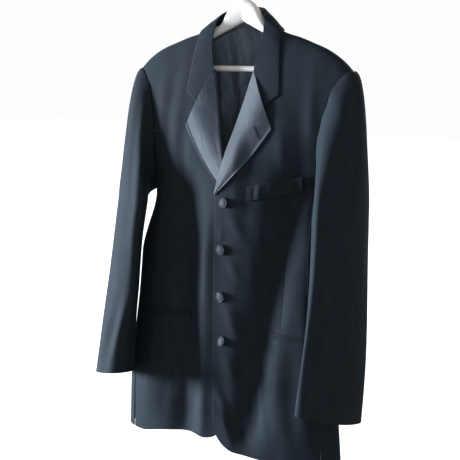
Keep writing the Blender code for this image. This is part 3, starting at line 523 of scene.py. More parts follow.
# The creases: across at the start (x), drop at the start, across and drop at the end, width, height
LEFT_FRONT_CREASES = (
    (0.000, 0.300, 0.001, 0.330, 0.0035, 0.0012),
    (0.014, 0.350, 0.046, 0.400, 0.0090, 0.0016),
    (0.012, 0.445, 0.052, 0.520, 0.0120, 0.0030),
    (0.020, 0.470, 0.060, 0.500, 0.0100, -0.0016),
    (0.010, 0.540, 0.060, 0.640, 0.0120, 0.0030),
    (-0.008, 0.570, 0.040, 0.700, 0.0130, -0.0028),
    (-0.014, 0.640, 0.075, 0.735, 0.0110, -0.0032),
    (0.000, 0.620, 0.030, 0.735, 0.0090, 0.0022),
    (0.062, 0.590, 0.074, 0.650, 0.0070, 0.0020),
    (0.076, 0.570, 0.092, 0.640, 0.0080, 0.0024),
    (0.088, 0.630, 0.104, 0.690, 0.0080, 0.0018),
    (0.120, 0.520, 0.150, 0.720, 0.0200, 0.0030),
    (0.004, 0.300, 0.006, 0.324, 0.0016, 0.0009),
    (0.018, 0.265, 0.060, 0.330, 0.0120, 0.0020),
    (0.026, 0.252, 0.070, 0.262, 0.0100, 0.0012),
    (0.098, 0.215, 0.104, 0.330, 0.0060, -0.0010),
    (0.116, 0.100, 0.128, 0.200, 0.0110, 0.0016),
    (0.150, 0.060, 0.160, 0.200, 0.0140, -0.0018),
    (0.170, 0.020, 0.176, 0.120, 0.0100, 0.0016),
)
RIGHT_FRONT_CREASES = (
    (-0.030, 0.260, -0.036, 0.480, 0.0140, 0.0024),
    (-0.052, 0.300, -0.060, 0.520, 0.0110, -0.0016),
    (-0.105, 0.280, -0.112, 0.480, 0.0120, 0.0020),
    (-0.140, 0.220, -0.150, 0.480, 0.0140, -0.0022),
    (-0.165, 0.240, -0.176, 0.470, 0.0120, 0.0020),
    (-0.100, 0.510, -0.110, 0.720, 0.0120, 0.0022),
    (-0.130, 0.520, -0.150, 0.740, 0.0140, -0.0026),
    (-0.175, 0.520, -0.195, 0.740, 0.0180, 0.0030),
    (-0.060, 0.520, -0.068, 0.720, 0.0120, -0.0020),
    (-0.036, 0.560, -0.040, 0.730, 0.0110, 0.0020),
    (-0.120, 0.000, -0.126, 0.160, 0.0110, 0.0014),
    (-0.146, 0.010, -0.150, 0.180, 0.0100, -0.0014),
    (-0.170, 0.020, -0.172, 0.180, 0.0100, 0.0014),
    (-0.100, 0.080, -0.104, 0.240, 0.0120, -0.0014),
)
BACK_CREASES = (
    (0.030, 0.120, 0.020, 0.420, 0.0160, 0.0022),
    (0.085, 0.080, 0.075, 0.500, 0.0180, -0.0024),
    (0.140, 0.060, 0.150, 0.300, 0.0140, 0.0022),
    (-0.025, 0.200, -0.035, 0.640, 0.0160, 0.0020),
    (-0.090, 0.060, -0.080, 0.440, 0.0170, -0.0022),
    (-0.150, 0.060, -0.155, 0.340, 0.0130, 0.0020),
    (0.060, 0.440, 0.090, 0.740, 0.0180, 0.0026),
    (-0.060, 0.460, -0.100, 0.740, 0.0180, -0.0026),
    (0.150, 0.420, 0.170, 0.740, 0.0160, -0.0022),
    (-0.160, 0.400, -0.180, 0.740, 0.0160, 0.0022),
)
# Sleeve creases: turn in degrees at the start (a degree is about a millimetre), drop, turn, drop,
# width, height
SLEEVE_CREASES = {
    1: (
        (-62, 0.040, -66, 0.200, 0.014, 0.0020),
        (20, 0.010, 30, 0.120, 0.012, 0.0016),
        (-14, 0.250, -18, 0.600, 0.010, 0.0012),
        (-40, 0.320, -30, 0.420, 0.016, -0.0014),
        (40, 0.300, 52, 0.420, 0.016, 0.0020),
        (84, 0.180, 90, 0.560, 0.010, 0.0014),
        (70, 0.420, 60, 0.560, 0.014, -0.0018),
        (200, 0.240, 190, 0.360, 0.014, 0.0024),
        (160, 0.300, 150, 0.420, 0.014, -0.0024),
    ),
    -1: (
        (10, 0.010, 24, 0.120, 0.012, 0.0018),
        (-50, 0.030, -58, 0.180, 0.014, -0.0016),
        (36, 0.060, 46, 0.300, 0.014, -0.0026),
        (8, 0.280, 26, 0.420, 0.016, 0.0026),
        (62, 0.200, 70, 0.420, 0.014, 0.0024),
        (44, 0.440, 34, 0.600, 0.013, -0.0034),
        (66, 0.470, 58, 0.610, 0.011, 0.0026),
        (20, 0.500, 12, 0.610, 0.012, 0.0018),
        (200, 0.240, 190, 0.360, 0.014, 0.0024),
        (160, 0.300, 150, 0.420, 0.014, -0.0024),
    ),
}
print("creases placed:", len(LEFT_FRONT_CREASES) + len(RIGHT_FRONT_CREASES) + len(BACK_CREASES))

# %% [markdown]
# ## Finishes
#
# Each finish starts from the real stuff. Worsted wool is a fine twill with a dry, faintly bluish sheen.
# The facings are satin, whose long floating threads shine along one direction. The lining is a thin twill
# with a soft gloss. The hanger is beech under white paint. Patterns read each piece's own cloth
# coordinates, which hold metres along and across the cloth, so a thread is the same size everywhere.

# %% Colour and node helpers
def linear(code):
    """An sRGB hex colour as linear RGBA: each channel through the sRGB curve."""
    parts = np.array([int(code[i : i + 2], 16) for i in (1, 3, 5)]) / 255
    values = np.where(parts <= 0.04045, parts / 12.92, ((parts + 0.055) / 1.055) ** 2.4)
    return (*values.tolist(), 1.0)


def add_node(tree, kind, inputs=None, **settings):
    """A node of one kind: settings are its attributes, inputs its values or the sockets that feed it."""
    made = tree.nodes.new(kind)
    for name, value in settings.items():
        setattr(made, name, value)
    for name, value in (inputs or {}).items():
        if isinstance(value, bpy.types.NodeSocket):
            tree.links.new(value, made.inputs[name])
        else:
            made.inputs[name].default_value = value
    return made


def finish_base(name, colour, roughness, **sockets):
    """A named material with a Principled shader; returns the material, its tree and the shader."""
    made = bpy.data.materials.new(name)
    made.use_nodes = True
    shader = made.node_tree.nodes["Principled BSDF"]
    shader.inputs["Base Color"].default_value = linear(colour)
    shader.inputs["Roughness"].default_value = roughness
    for socket, value in sockets.items():
        shader.inputs[socket.replace("_", " ")].default_value = value
    return made, made.node_tree, shader


def cloth_vector(tree, scale=(1.0, 1.0, 1.0)):
    """The piece's cloth coordinates in metres, scaled along each way."""
    place = add_node(tree, "ShaderNodeUVMap", uv_map="cloth").outputs["UV"]
    return add_node(tree, "ShaderNodeMapping", {"Vector": place, "Scale": scale}).outputs["Vector"]


def mottled(tree, shader, vector, scale, dark, light, detail=4.0):
    """Base colour that drifts between two tones with a noise of a given scale."""
    noise = add_node(tree, "ShaderNodeTexNoise", {"Vector": vector, "Scale": scale, "Detail": detail})
    ramp = add_node(tree, "ShaderNodeValToRGB", {"Fac": noise.outputs["Fac"]})
    ramp.color_ramp.elements[0].position, ramp.color_ramp.elements[0].color = 0.3, linear(dark)
    ramp.color_ramp.elements[1].position, ramp.color_ramp.elements[1].color = 0.7, linear(light)
    tree.links.new(ramp.outputs["Color"], shader.inputs["Base Color"])


def bumped(tree, shader, heights, distance):
    """Bump from the sum of (socket, weight) pairs, at a distance in metres."""
    total = None
    for socket, weight in heights:
        scaled = add_node(tree, "ShaderNodeMath", {0: socket, 1: weight}, operation="MULTIPLY").outputs[0]
        if total is not None:
            scaled = add_node(tree, "ShaderNodeMath", {0: total, 1: scaled}).outputs[0]
        total = scaled
    bump = add_node(tree, "ShaderNodeBump", {"Height": total, "Strength": 1.0, "Distance": distance})
    tree.links.new(bump.outputs["Normal"], shader.inputs["Normal"])


WAVE_PERIOD = 2 * math.pi / 20  # a straight Wave texture repeats after this length at scale 1
# Real twill lines are 0.5 mm apart and satin's filling threads 0.3 mm; they are drawn further apart, so
# that they show at all
TWILL_SPACING = 0.0011
SATIN_THREAD_SPACING = 0.0008

# %% Worsted wool: a dyed fine twill, pressed, with a dry sheen at glancing angles
def worsted():
    made, tree, shader = finish_base("worsted_wool", "#1e262d", 0.75, Sheen_Weight=0.08, Sheen_Roughness=0.5)
    shader.inputs["Sheen Tint"].default_value = linear("#8199a8")
    shader.inputs["Specular IOR Level"].default_value = 0.10
    flat = cloth_vector(tree)
    mottled(tree, shader, cloth_vector(tree, (1.0, 0.35, 1.0)), 60.0, "#1e262d", "#232d35")
    lines = {"Vector": flat, "Scale": 2 * WAVE_PERIOD / TWILL_SPACING / 1.4}
    twill = add_node(tree, "ShaderNodeTexWave", lines, bands_direction="DIAGONAL").outputs["Fac"]
    nap = {"Vector": flat, "Scale": 900.0, "Detail": 3.0}
    fuzz = add_node(tree, "ShaderNodeTexNoise", nap).outputs["Fac"]
    waves = {"Vector": cloth_vector(tree, (1.0, 0.4, 1.0)), "Scale": 45.0, "Detail": 3.0}
    rumple = add_node(tree, "ShaderNodeTexNoise", waves).outputs["Fac"]
    bumped(tree, shader, ((twill, 0.10), (fuzz, 0.22), (rumple, 0.25)), 0.0008)
    return made

# %% Satin facing: long warp floats give a bright soft streak across the threads
def satin(name, dark, light, roughness=0.52):
    made, tree, shader = finish_base(
        name, light, roughness, Sheen_Weight=0.10, Sheen_Roughness=0.4, Anisotropic=0.3
    )
    shader.inputs["Sheen Tint"].default_value = linear("#a9bccb")
    shader.inputs["Specular IOR Level"].default_value = 0.24
    mottled(tree, shader, cloth_vector(tree, (1.0, 0.25, 1.0)), 70.0, dark, light, 5.0)
    lines = {"Vector": cloth_vector(tree), "Scale": WAVE_PERIOD / SATIN_THREAD_SPACING}
    thread = add_node(tree, "ShaderNodeTexWave", lines, bands_direction="Y").outputs["Fac"]
    streaks = {"Vector": cloth_vector(tree, (1.0, 0.18, 1.0)), "Scale": 110.0, "Detail": 5.0}
    streak = add_node(tree, "ShaderNodeTexNoise", streaks).outputs["Fac"]
    bumped(tree, shader, ((thread, 0.08), (streak, 0.45)), 0.0010)
    return made

# %% White paint on beech, and polished steel wire
def painted_beech():
    made, tree, shader = finish_base(
        "white_painted_beech", "#f3f2ee", 0.38, Coat_Weight=0.25, Coat_Roughness=0.25
    )
    place = add_node(tree, "ShaderNodeTexCoord").outputs["Object"]
    stretch = {"Vector": place, "Scale": (6.0, 60.0, 60.0)}
    grain = add_node(tree, "ShaderNodeMapping", stretch).outputs["Vector"]
    noise = add_node(tree, "ShaderNodeTexNoise", {"Vector": grain, "Scale": 12.0, "Detail": 4.0})
    mottled(tree, shader, grain, 3.0, "#eeece6", "#f6f5f2")
    bumped(tree, shader, ((noise.outputs["Fac"], 1.0),), 0.00015)
    return made


def steel_wire():
    made, tree, shader = finish_base("polished_steel_wire", "#c9ccd0", 0.22, Metallic=1.0)
    place = add_node(tree, "ShaderNodeTexCoord").outputs["Object"]
    noise = add_node(tree, "ShaderNodeTexNoise", {"Vector": place, "Scale": 600.0, "Detail": 2.0})
    bumped(tree, shader, ((noise.outputs["Fac"], 1.0),), 0.00003)
    return made


FINISHES = {
    "wool": worsted(),
    "satin": satin("duchess_satin", "#2c3641", "#3a4551"),
    "lining": satin("lining_twill", "#5a6874", "#8190a0", 0.36),
    "button": satin("satin_button_cover", "#252d35", "#343e48", 0.55),
    "painted_wood": painted_beech(),
    "hook_steel": steel_wire(),
}
print("finishes:", sorted(made.name for made in FINISHES.values()))

# %% [markdown]
# ## Making a piece of cloth
#
# Every cloth piece is one grid. Solidify gives it its real thickness towards the inside, where its second
# finish, the lining, shows, and one level of subdivision rounds the cut edges, which then catch the light
# as a pressed edge does. The cloth coordinates are arc lengths over the grid.

# %% Grids to cloth
def arc_lengths(points, axis):
    """Running length along an axis of the grid, measured from its middle line."""
    steps = np.linalg.norm(np.diff(points, axis=axis), axis=-1)
    start = np.zeros_like(np.take(steps, [0], axis=axis))
    run = np.concatenate([start, np.cumsum(steps, axis=axis)], axis=axis)
    middle = np.take(run, [run.shape[axis] // 2], axis=axis)
    return run - middle


def grid_object(name, points, finishes, closed_round=False):
    """A mesh object of quads over a grid, with its cloth coordinates as a UV map in metres."""
    rows, columns = points.shape[:2]
    index = np.arange(rows * columns).reshape(rows, columns)
    if closed_round:
        index = np.concatenate([index, index[:, :1]], axis=1)
    round_a_cell = [index[:-1, :-1], index[:-1, 1:], index[1:, 1:], index[1:, :-1]]
    corners = np.stack(round_a_cell, axis=-1).reshape(-1, 4)
    places = points.reshape(-1, 3)
    if closed_round:
        # A closed skin's faces point outwards where the cones from its middle add up to a positive volume
        a, b, c, d = (places[corners[:, i]] - places.mean(axis=0) for i in range(4))
        if np.sum(a * (np.cross(b, c) + np.cross(c, d))) < 0:
            corners = corners[:, ::-1]
    mesh = bpy.data.meshes.new(name)
    mesh.from_pydata(places.tolist(), [], corners.tolist())
    place = np.stack([arc_lengths(points, 1), arc_lengths(points, 0)], axis=-1).reshape(-1, 2)
    mesh.uv_layers.new(name="cloth").data.foreach_set("uv", place[corners.reshape(-1)].ravel())
    mesh.shade_smooth()
    for finish in finishes:
        mesh.materials.append(FINISHES[finish])
    made = bpy.data.objects.new(name, mesh)
    bpy.context.scene.collection.objects.link(made)
    return made


def settle(made, slot, *nodes):
    """The piece takes its nodes' place in the frame, where it has any; the slot is not used."""
    if nodes:
        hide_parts(*nodes)
    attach(made, "root")
    return made


def cloth(name, points, slot, node, thickness=WALL, lined=True):
    """A cloth piece from a grid: wall, rounded edges and its place in the frame."""
    made = grid_object(name, points, [slot, "lining"] if lined else [slot])
    wall = made.modifiers.new("wall", "SOLIDIFY")
    wall.thickness, wall.offset, wall.use_quality_normals = thickness, -1.0, True
    wall.material_offset = 1 if lined else 0
    edge = made.modifiers.new("rounded edges", "SUBSURF")
    edge.levels = edge.render_levels = 1
    settle(made, slot, node)
    return made

# %% [markdown]
# ## Body panels
#
# Fronts, side panels and backs, cut along their real seams, which stay open by the width of a stitch line
# so that a fine dark groove shows. The fronts carry their darts as a narrow sunk line.

# %% Fronts, sides and backs
def with_relief(points, relief):
    """The grid moved along its own normals by a relief."""
    return points + normals_of(points) * relief[..., None]


def dart_relief(hand, points):
    """The dart: a narrow sunk line, deepest in its middle, with the cloth beside it drawn in a little."""
    x, top, foot = DARTS[hand]
    drop = SHOULDER_Z - points[..., 2]
    share = np.clip((drop - top) / (foot - top), 0, 1)
    fade = np.where((drop > top) & (drop < foot), np.sin(math.pi * share) ** 0.35, 0)
    away = np.abs(hand * points[..., 0] - x)
    return fade * (-0.0011 * np.exp(-((away / 0.0016) ** 2)) - 0.0009 * np.exp(-((away / 0.010) ** 2)))


def edged(first, last, count, narrow):
    """Even stations from first to last, with one more close to each end: only the very edge is rounded."""
    return np.concatenate([[first], np.linspace(first + narrow, last - narrow, count), [last]])


FRONT_ROWS = np.concatenate([edged(0, 1, 100, 0.003)[:-1], np.linspace(1, 2, 30)])
BACK_ROWS = np.concatenate([edged(0, 1, 80, 0.003)[:-1], np.linspace(1, 2, 30)])
BESIDE_DART = (-0.012, -0.005, 0.0, 0.005, 0.012)
FRONT_COLUMNS = np.concatenate([edged(0, DART_U - 0.02, 26, 0.008)[:-1], DART_U + np.array(BESIDE_DART),
                                edged(DART_U + 0.02, 1, 15, 0.008)[1:]])
WORDS = {1: "left", -1: "right"}
for hand, word in WORDS.items():
    front = facing_away(front_point(hand, FRONT_COLUMNS[None, :], FRONT_ROWS[:, None]), (0, 0))
    drop = SHOULDER_Z - front[..., 2]
    table = LEFT_FRONT_CREASES if hand > 0 else RIGHT_FRONT_CREASES
    relief = creases(table, front[..., 0], drop) + unevenness(front[..., 0], drop, 3 + hand)
    relief = relief + dart_relief(hand, front)
    cloth(f"front_{word}_cloth", with_relief(front, relief), "wool", f"front_{word}")

    back = facing_away(back_point(hand, edged(0, 1, 36, 0.008)[None, :], BACK_ROWS[:, None]), (0, 0))
    drop = SHOULDER_Z - back[..., 2]
    relief = creases(BACK_CREASES, back[..., 0], drop) + unevenness(back[..., 0], drop, 13 + hand)
    cloth(f"back_{word}_cloth", with_relief(back, relief), "wool", f"back_{word}")

    turns = edged(0, 1, 14, 0.02)
    top = armhole_low_z(turns) + ARMHOLE_TUCK
    z = SHOULDER_Z - HEM_BACK_DROP + (top - SHOULDER_Z + HEM_BACK_DROP) * edged(0, 1, 76, 0.003)[:, None]
    side = facing_away(side_point(hand, np.broadcast_to(turns, z.shape), z), (0, 0))
    relief = unevenness(side[..., 1], SHOULDER_Z - side[..., 2], 23 + hand)
    cloth(f"side_{word}_cloth", with_relief(side, relief), "wool", f"side_{word}")

# %% [markdown]
# ## Sleeves
#
# Two pieces each. They hang forward of the body, flattened, with a pressed turn at the front and back, soft
# breaks at the elbow and slight puckers where the head is eased into the armhole.

# %% Sleeves
def sleeve_relief(hand, turn, points, run):
    """Sleeve creases, and puckers of the eased head that die out below the armhole."""
    drop = SHOULDER_Z - points[..., 2]
    table = [(a / 1000, b, c / 1000, d, w, h) for a, b, c, d, w, h in SLEEVE_CREASES[hand]]
    around = turn / 1000
    outer = np.cos(np.radians(turn)) > 0
    pucker = 0.0008 * np.sin(np.radians(turn) * 13) * np.exp(-((run / 0.10) ** 2)) * outer
    wander = unevenness(around, drop, 33 + hand) * np.minimum(1, run * 8)
    return creases(table, around, drop) + wander + pucker


for hand, word in WORDS.items():
    for part, (start, end), columns in (("upper", UPPER_TURNS, 42), ("under", UNDER_TURNS, 30)):
        turn, run = np.meshgrid(edged(start, end, columns, 1.6), np.concatenate(
            [edged(0, 1, 34, 0.012)[:-1], edged(1, 2, 50, 0.004)]))
        sleeve = sleeve_point(hand, turn, run)
        sleeve[..., 0] *= hand
        middle = (hand * 0.248, -0.07)
        straight = facing_away(sleeve, middle)
        if straight is not sleeve:
            turn = turn[:, ::-1]
        shape = with_relief(straight, sleeve_relief(hand, turn, straight, run))
        node = f"sleeve_{word}_{part}"
        cloth(f"{node}_cloth", shape, "wool", node)

# %% [markdown]
# ## Lapels and collar
#
# The satin facings turn back along the roll line, so their grids start inside the front, come round its
# edge in a small arc and then lie over the chest. The collar is one sheet too: it rises from the neck seam
# as a stand, turns over at the fold and falls onto the shoulders.

# %% Lapels
def on_front(hand, x, z, out):
    """A point lying out from the front of one hand at x and z."""
    points, normal = skin(-1, x, level_at(-1, x, z))
    raised = lift(hand * x, z) if hand > 0 else 0
    return points + normal * np.asarray(out)[..., None] - np.stack([0 * x, raised + 0 * x, 0 * x], axis=-1)


LAPEL_RUNS = edged(0, 0.985, 56, 0.006)
LAPEL_SPREAD = np.concatenate([[-0.9, -0.6, -0.3], edged(0, 1, 24, 0.018)])
ROLL_RADIUS = 0.0032


def lapel_points(hand):
    """Rows run down the roll line, columns out from it. Left of the roll line the spread counts a turn
    round the front's edge: out = radius times the cosine of the turn, sideways = radius times its sine."""
    runs, spread = np.meshgrid(LAPEL_RUNS, LAPEL_SPREAD, indexing="ij")
    end = np.array([FRONT_EDGE_X, BREAK_Z - SHOULDER_Z])
    gorge, tip = np.array(GORGE), np.array(LAPEL_TIP)
    roll = gorge + (end - gorge) * runs[..., None]
    belly = LAPEL_BELLY * np.sin(math.pi * runs)[..., None] * np.array([0.6, -0.8])
    edge = tip + (end - tip) * runs[..., None] + belly
    flat = roll + (edge - roll) * np.maximum(spread, 0)[..., None]
    fall = (1 - runs) ** (0.7 if hand > 0 else 1.6)
    rise = LAPEL_ROLL * np.sin(math.pi * np.clip(spread, 0, 1)) ** 1.2 * fall
    turn = np.clip(-spread, 0, 1) * math.pi
    out = FACING_WALL + LAPEL_CLEAR + rise - ROLL_RADIUS * (1 - np.cos(turn))
    x = flat[..., 0] - ROLL_RADIUS * np.sin(turn)
    points = on_front(hand, hand * x, SHOULDER_Z + flat[..., 1], out)
    wear = 0.00018 * np.sin(spread * 11 + runs * 7 + hand) * np.sin(math.pi * np.clip(spread, 0, 1))
    wear = wear + 0.0007 * np.exp(-(((1 - spread) / 0.03) ** 2)) * np.where(runs < 0.9, 2, 1)
    return points + np.stack([0 * wear, -wear, 0 * wear], axis=-1)


for hand, word in WORDS.items():
    shape = facing_away(lapel_points(hand), (0, 0.05))
    cloth(f"lapel_{word}_satin", shape, "satin", f"lapel_{word}", FACING_WALL, lined=False)

# %% Worked buttonhole in the left lapel: close stitches along a slit, a bar across its upper end
def stitched(name, path, radius, slot, twist=60):
    """A thread-covered cord along a path: its section swells and thins once for every stitch."""
    path = np.asarray(path, float)
    tangent = np.gradient(path, axis=0)
    tangent /= np.linalg.norm(tangent, axis=1, keepdims=True)
    side = np.cross(tangent, (0, 1, 0.0001))
    side /= np.linalg.norm(side, axis=1, keepdims=True)
    top = np.cross(side, tangent)
    turn = np.linspace(0, 2 * math.pi, 10, endpoint=False)
    share = np.linspace(0, 1, len(path))
    ends = np.sqrt(np.clip(np.sin(math.pi * share) * 12, 0, 1))
    swell = radius * (0.8 + 0.2 * np.sin(share * twist * 2 * math.pi)) * ends
    ring = side[:, None] * np.cos(turn)[:, None] + top[:, None] * np.sin(turn)[:, None]
    made = grid_object(name, path[:, None] + ring * swell[:, None, None], [slot], closed_round=True)
    made.modifiers.new("closed ends", "WELD").merge_threshold = 0.00002
    return settle(made, slot)


def on_lapel(x, drop, out):
    """The point of the left lapel's grid nearest to x and a drop, moved out along the front's normal."""
    x = np.array(x)
    points, normal = skin(-1, x, level_at(-1, x, SHOULDER_Z - drop))
    grid = lapel_points(1)[:, 3:].reshape(-1, 3)
    near = np.argmin(np.linalg.norm(grid[:, ::2] - points[::2], axis=-1))
    return grid[near] + normal * out


# The slit's upper and lower end: x, drop; the stitches on its two sides bow apart
SLIT = ((0.0635, 0.1035), (0.0740, 0.1260))
SLIT_BOW = 0.0011
STITCH_RISE = 0.0004
hole = np.linspace(0, 1, 160)
bow = SLIT_BOW * np.sin(math.pi * hole) ** 0.5
start, end = (on_lapel(x, drop, STITCH_RISE) for x, drop in SLIT)
for number, side in enumerate((1, -1), 1):
    line = start + (end - start) * hole[:, None] + np.stack([side * bow, 0 * bow, side * bow * 0.45], axis=-1)
    stitched(f"lapel_buttonhole_{number}", line, 0.00055, "satin")
across = np.array([0.0020, 0.0, 0.0009])
bar = start + across * np.linspace(-1, 1, 40)[:, None] + np.array([0, -0.0003, 0])
stitched("lapel_buttonhole_bar", bar, 0.0006, "satin", 12)
print("buttonhole in the lapel:", round(float(np.linalg.norm(end - start)) * 1000, 1), "mm long")

# %% Collar
def clear_of_body(points, out):
    """The points, with any nearer than out to the body pushed off it along the nearest normal."""
    levels = np.linspace(-0.2, 1, 120)
    points = points.copy()
    for side in (1, -1):
        x = np.broadcast_to(points[:, :1], (len(points), len(levels)))
        near, normal = skin(side, x, np.broadcast_to(levels, x.shape))
        away = points[:, None, :] - near
        distance = np.linalg.norm(away, axis=-1)
        nearest = np.argmin(distance, axis=1)
        pick = np.arange(len(points))
        gap = np.sum(away[pick, nearest] * normal[pick, nearest], axis=-1)
        push = np.clip(out - gap, 0, None) * (distance[pick, nearest] < CLEAR_REACH)
        points += normal[pick, nearest] * push[:, None]
    return points


def collar_half(shares):
    """The left half, from the outer edge over the fold to the neck seam, column by column."""
    out = FACING_WALL + COLLAR_CLEAR
    fold = np.stack([along(COLLAR, i, shares) for i in (1, 2, 3)], axis=-1)
    fold[:, 2] += SHOULDER_Z
    rolled = (shares > COLLAR_SHOULDER_SHARE + 0.05)[:, None]
    fold = np.where(rolled, clear_of_body(fold, out), fold)
    behind = shares < COLLAR_SHOULDER_SHARE
    descent = (shares - COLLAR_SHOULDER_SHARE) / (COLLAR_GORGE_SHARE - COLLAR_SHOULDER_SHARE)
    level_behind = 0.72 + 0.28 * shares / COLLAR_SHOULDER_SHARE
    level = np.where(behind, level_behind, 1 - descent * (1 - NECK_EDGE[1][0] / 90))
    neck_behind = body_point(1, NECK_POINT_X * eased((level - 0.72) / 0.28), level)
    neck = np.where(behind[:, None], neck_behind, body_point(-1, inner_x(np.maximum(level, 0.01)), level))
    neck = neck + (fold - neck) * STAND_START
    neck[:, 0] -= FACING_WALL * np.clip((shares - 0.3) / 0.1, 0, 1)
    x = along(COLLAR, 4, shares)
    z = np.minimum(SHOULDER_Z + along(COLLAR, 5, shares), shoulder_z(x) - 0.0004)
    lying = [skin(side, x, level_at(side, x, z)) for side in (1, -1)]
    edge = np.where(behind[:, None], lying[0][0] + lying[0][1] * out, lying[1][0] + lying[1][1] * out)
    seam, normal = skin(-1, fold[:, 0] + 0.0009, level_at(-1, fold[:, 0], fold[:, 2]))
    fold = np.where((shares > COLLAR_GORGE_SHARE - 0.001)[:, None], seam + normal * out, fold)
    columns = []
    for part in np.linspace(0, 1, 9)[:-1]:
        point = edge + (fold - edge) * part
        point[:, 2] += COLLAR_ROLL * math.sin(math.pi * part)
        columns.append(clear_of_body(point, out) if part else edge)
    stand = [fold + (neck - fold) * part for part in np.linspace(0, 1, 6)]
    return np.stack([*columns, *stand], axis=1)


half_shares = np.concatenate(
    [np.linspace(0, COLLAR_GORGE_SHARE - 0.01, 40), np.linspace(COLLAR_GORGE_SHARE, 1, 12)]
)
left_half = collar_half(half_shares)
# From just before the gorge on there is no stand: its columns shrink to a narrow strip at the fold
no_stand = half_shares > COLLAR_GORGE_SHARE - 0.02
fold, before = left_half[no_stand, 8:9], left_half[no_stand, 7:8]
left_half[no_stand, 9:] = fold + (fold - before) * np.linspace(0.02, 0.1, 5)[:, None]
whole = facing_away(np.concatenate([left_half[:0:-1] * np.array([-1, 1, 1]), left_half]), (0, 0))
cloth("collar_cloth", whole, "wool", "collar", FACING_WALL, lined=False)

# %% [markdown]
# ## Lining
#
# Through the open neck the back's lining shows: thin, glossy, with a centre pleat and long wrinkles where
# it is looser than the wool over it.

# %% Lining inside the back
LINING_HALF_WIDTH = 0.112
LINING_FOOT, LINING_TOP = -0.19, 0.66
levels = np.concatenate([np.linspace(LINING_FOOT, 0, 40), np.linspace(0, LINING_TOP, 30)[1:]])
x, level = np.meshgrid(np.linspace(-LINING_HALF_WIDTH, LINING_HALF_WIDTH, 64), levels)
points, normal = skin(1, x, level)
drop = SHOULDER_Z - points[..., 2]
# As the creases; the first two rows are the centre pleat
LINING_WRINKLES = (
    (0.010, -0.080, 0.012, 0.300, 0.0060, 0.0040),
    (-0.004, -0.080, -0.002, 0.300, 0.0050, -0.0030),
    (-0.030, -0.060, -0.034, 0.220, 0.0070, 0.0036),
    (-0.052, -0.060, -0.048, 0.240, 0.0080, -0.0034),
    (-0.075, -0.020, -0.080, 0.200, 0.0080, 0.0036),
    (0.034, -0.050, 0.040, 0.240, 0.0080, 0.0034),
    (0.062, -0.030, 0.060, 0.200, 0.0090, -0.0030),
    (-0.020, 0.010, -0.060, 0.070, 0.0060, 0.0040),
    (-0.030, 0.030, -0.066, 0.085, 0.0050, -0.0036),
    (-0.010, 0.040, -0.050, 0.110, 0.0060, 0.0030),
)
loose = creases(LINING_WRINKLES, x, drop) + unevenness(x, drop, 51, 0.0016)
lining = points - normal * (WALL + 0.0030 + np.maximum(1.5 * loose, -0.001))[..., None]
lining = lining if normals_of(lining)[..., 1].mean() < 0 else lining[:, ::-1]
cloth("back_lining", lining, "lining", "lining_back", 0.0006, lined=False)

# %% [markdown]
# ## Pockets
#
# The breast pocket has a welt that stands up over its mouth. Each hip pocket has two narrow lips
# (jettings) with the mouth between them, and a small half-moon tack at its inner end.

# %% Welt and jettings
def pocket_grid(corners, height, rows, out):
    """A strip over a front between two corners: rows rise by their share of the height at their own out."""
    (x_first, drop_first), (x_last, drop_last) = corners
    run = np.concatenate([[0, 0.01], np.linspace(0.03, 0.97, 40), [0.99, 1]])
    x = x_first + (x_last - x_first) * run
    z = SHOULDER_Z - (drop_first + (drop_last - drop_first) * run) + rows[:, None] * height
    x = np.broadcast_to(x, z.shape)
    return on_front(1 if x_first > 0 else -1, x, z, np.broadcast_to(out[:, None], z.shape))


rows = np.concatenate([[0, 0.02], np.linspace(0.06, 0.94, 12), [0.98, 1]])
welt = pocket_grid(WELT, WELT_HEIGHT, rows, 0.0036 + 0.0010 * np.sin(math.pi * rows))
WELT_CREASES = (
    (0.072, 0.212, 0.071, 0.240, 0.0028, -0.0012),
    (0.082, 0.210, 0.081, 0.238, 0.0030, 0.0012),
    (0.096, 0.208, 0.094, 0.236, 0.0040, -0.0010),
)
welt[..., 1] -= creases(WELT_CREASES, welt[..., 0], SHOULDER_Z - welt[..., 2])
cloth("breast_welt_cloth", facing_away(welt, (0, 0)), "wool", "breast_welt", 0.0022, False)

for word, corners in POCKETS.items():
    rows = np.linspace(0, 1, 25)
    lips = 0.0012 + 0.0026 * np.abs(np.sin(2 * math.pi * rows)) ** 0.6
    lips[12] = 0.0004
    strip = facing_away(pocket_grid(corners, JETTING_HEIGHT, rows, lips), (0, 0))
    node = f"hip_jetting_{word}"
    cloth(f"{node}_cloth", strip, "wool", node, 0.0008, False)

# %% Half-moon tack at the inner end of each hip pocket, in close stitches
for word, corners in POCKETS.items():
    x_inner, inner_drop = corners[0]
    bend = np.radians(np.linspace(-90, 90, 60))
    x = x_inner - math.copysign(0.0035, x_inner) * np.cos(bend)
    z = SHOULDER_Z - inner_drop + JETTING_HEIGHT / 2 + 0.0062 * np.sin(bend)
    path = on_front(1 if x_inner > 0 else -1, x, z, np.full(x.shape, 0.0006))
    stitched(f"hip_tack_{word}", path, 0.0006, "satin", 24)

# %% [markdown]
# ## Buttons
#
# Covered buttons: satin stretched over a dished metal shell, so a low dome sits inside a rounded rim. One
# revolved profile serves all of them; each is tipped a little differently, as sewn buttons are.

# %% Covered buttons
# The profile from the centre of the face round the rim to the back: radius share, height share
BUTTON_PROFILE = (
    (0.00, 0.86),
    (0.30, 0.85),
    (0.55, 0.81),
    (0.68, 0.72),
    (0.74, 0.66),
    (0.80, 0.74),
    (0.88, 0.80),
    (0.96, 0.70),
    (1.00, 0.50),
    (0.97, 0.28),
    (0.85, 0.08),
    (0.60, 0.00),
    (0.00, 0.00),
)


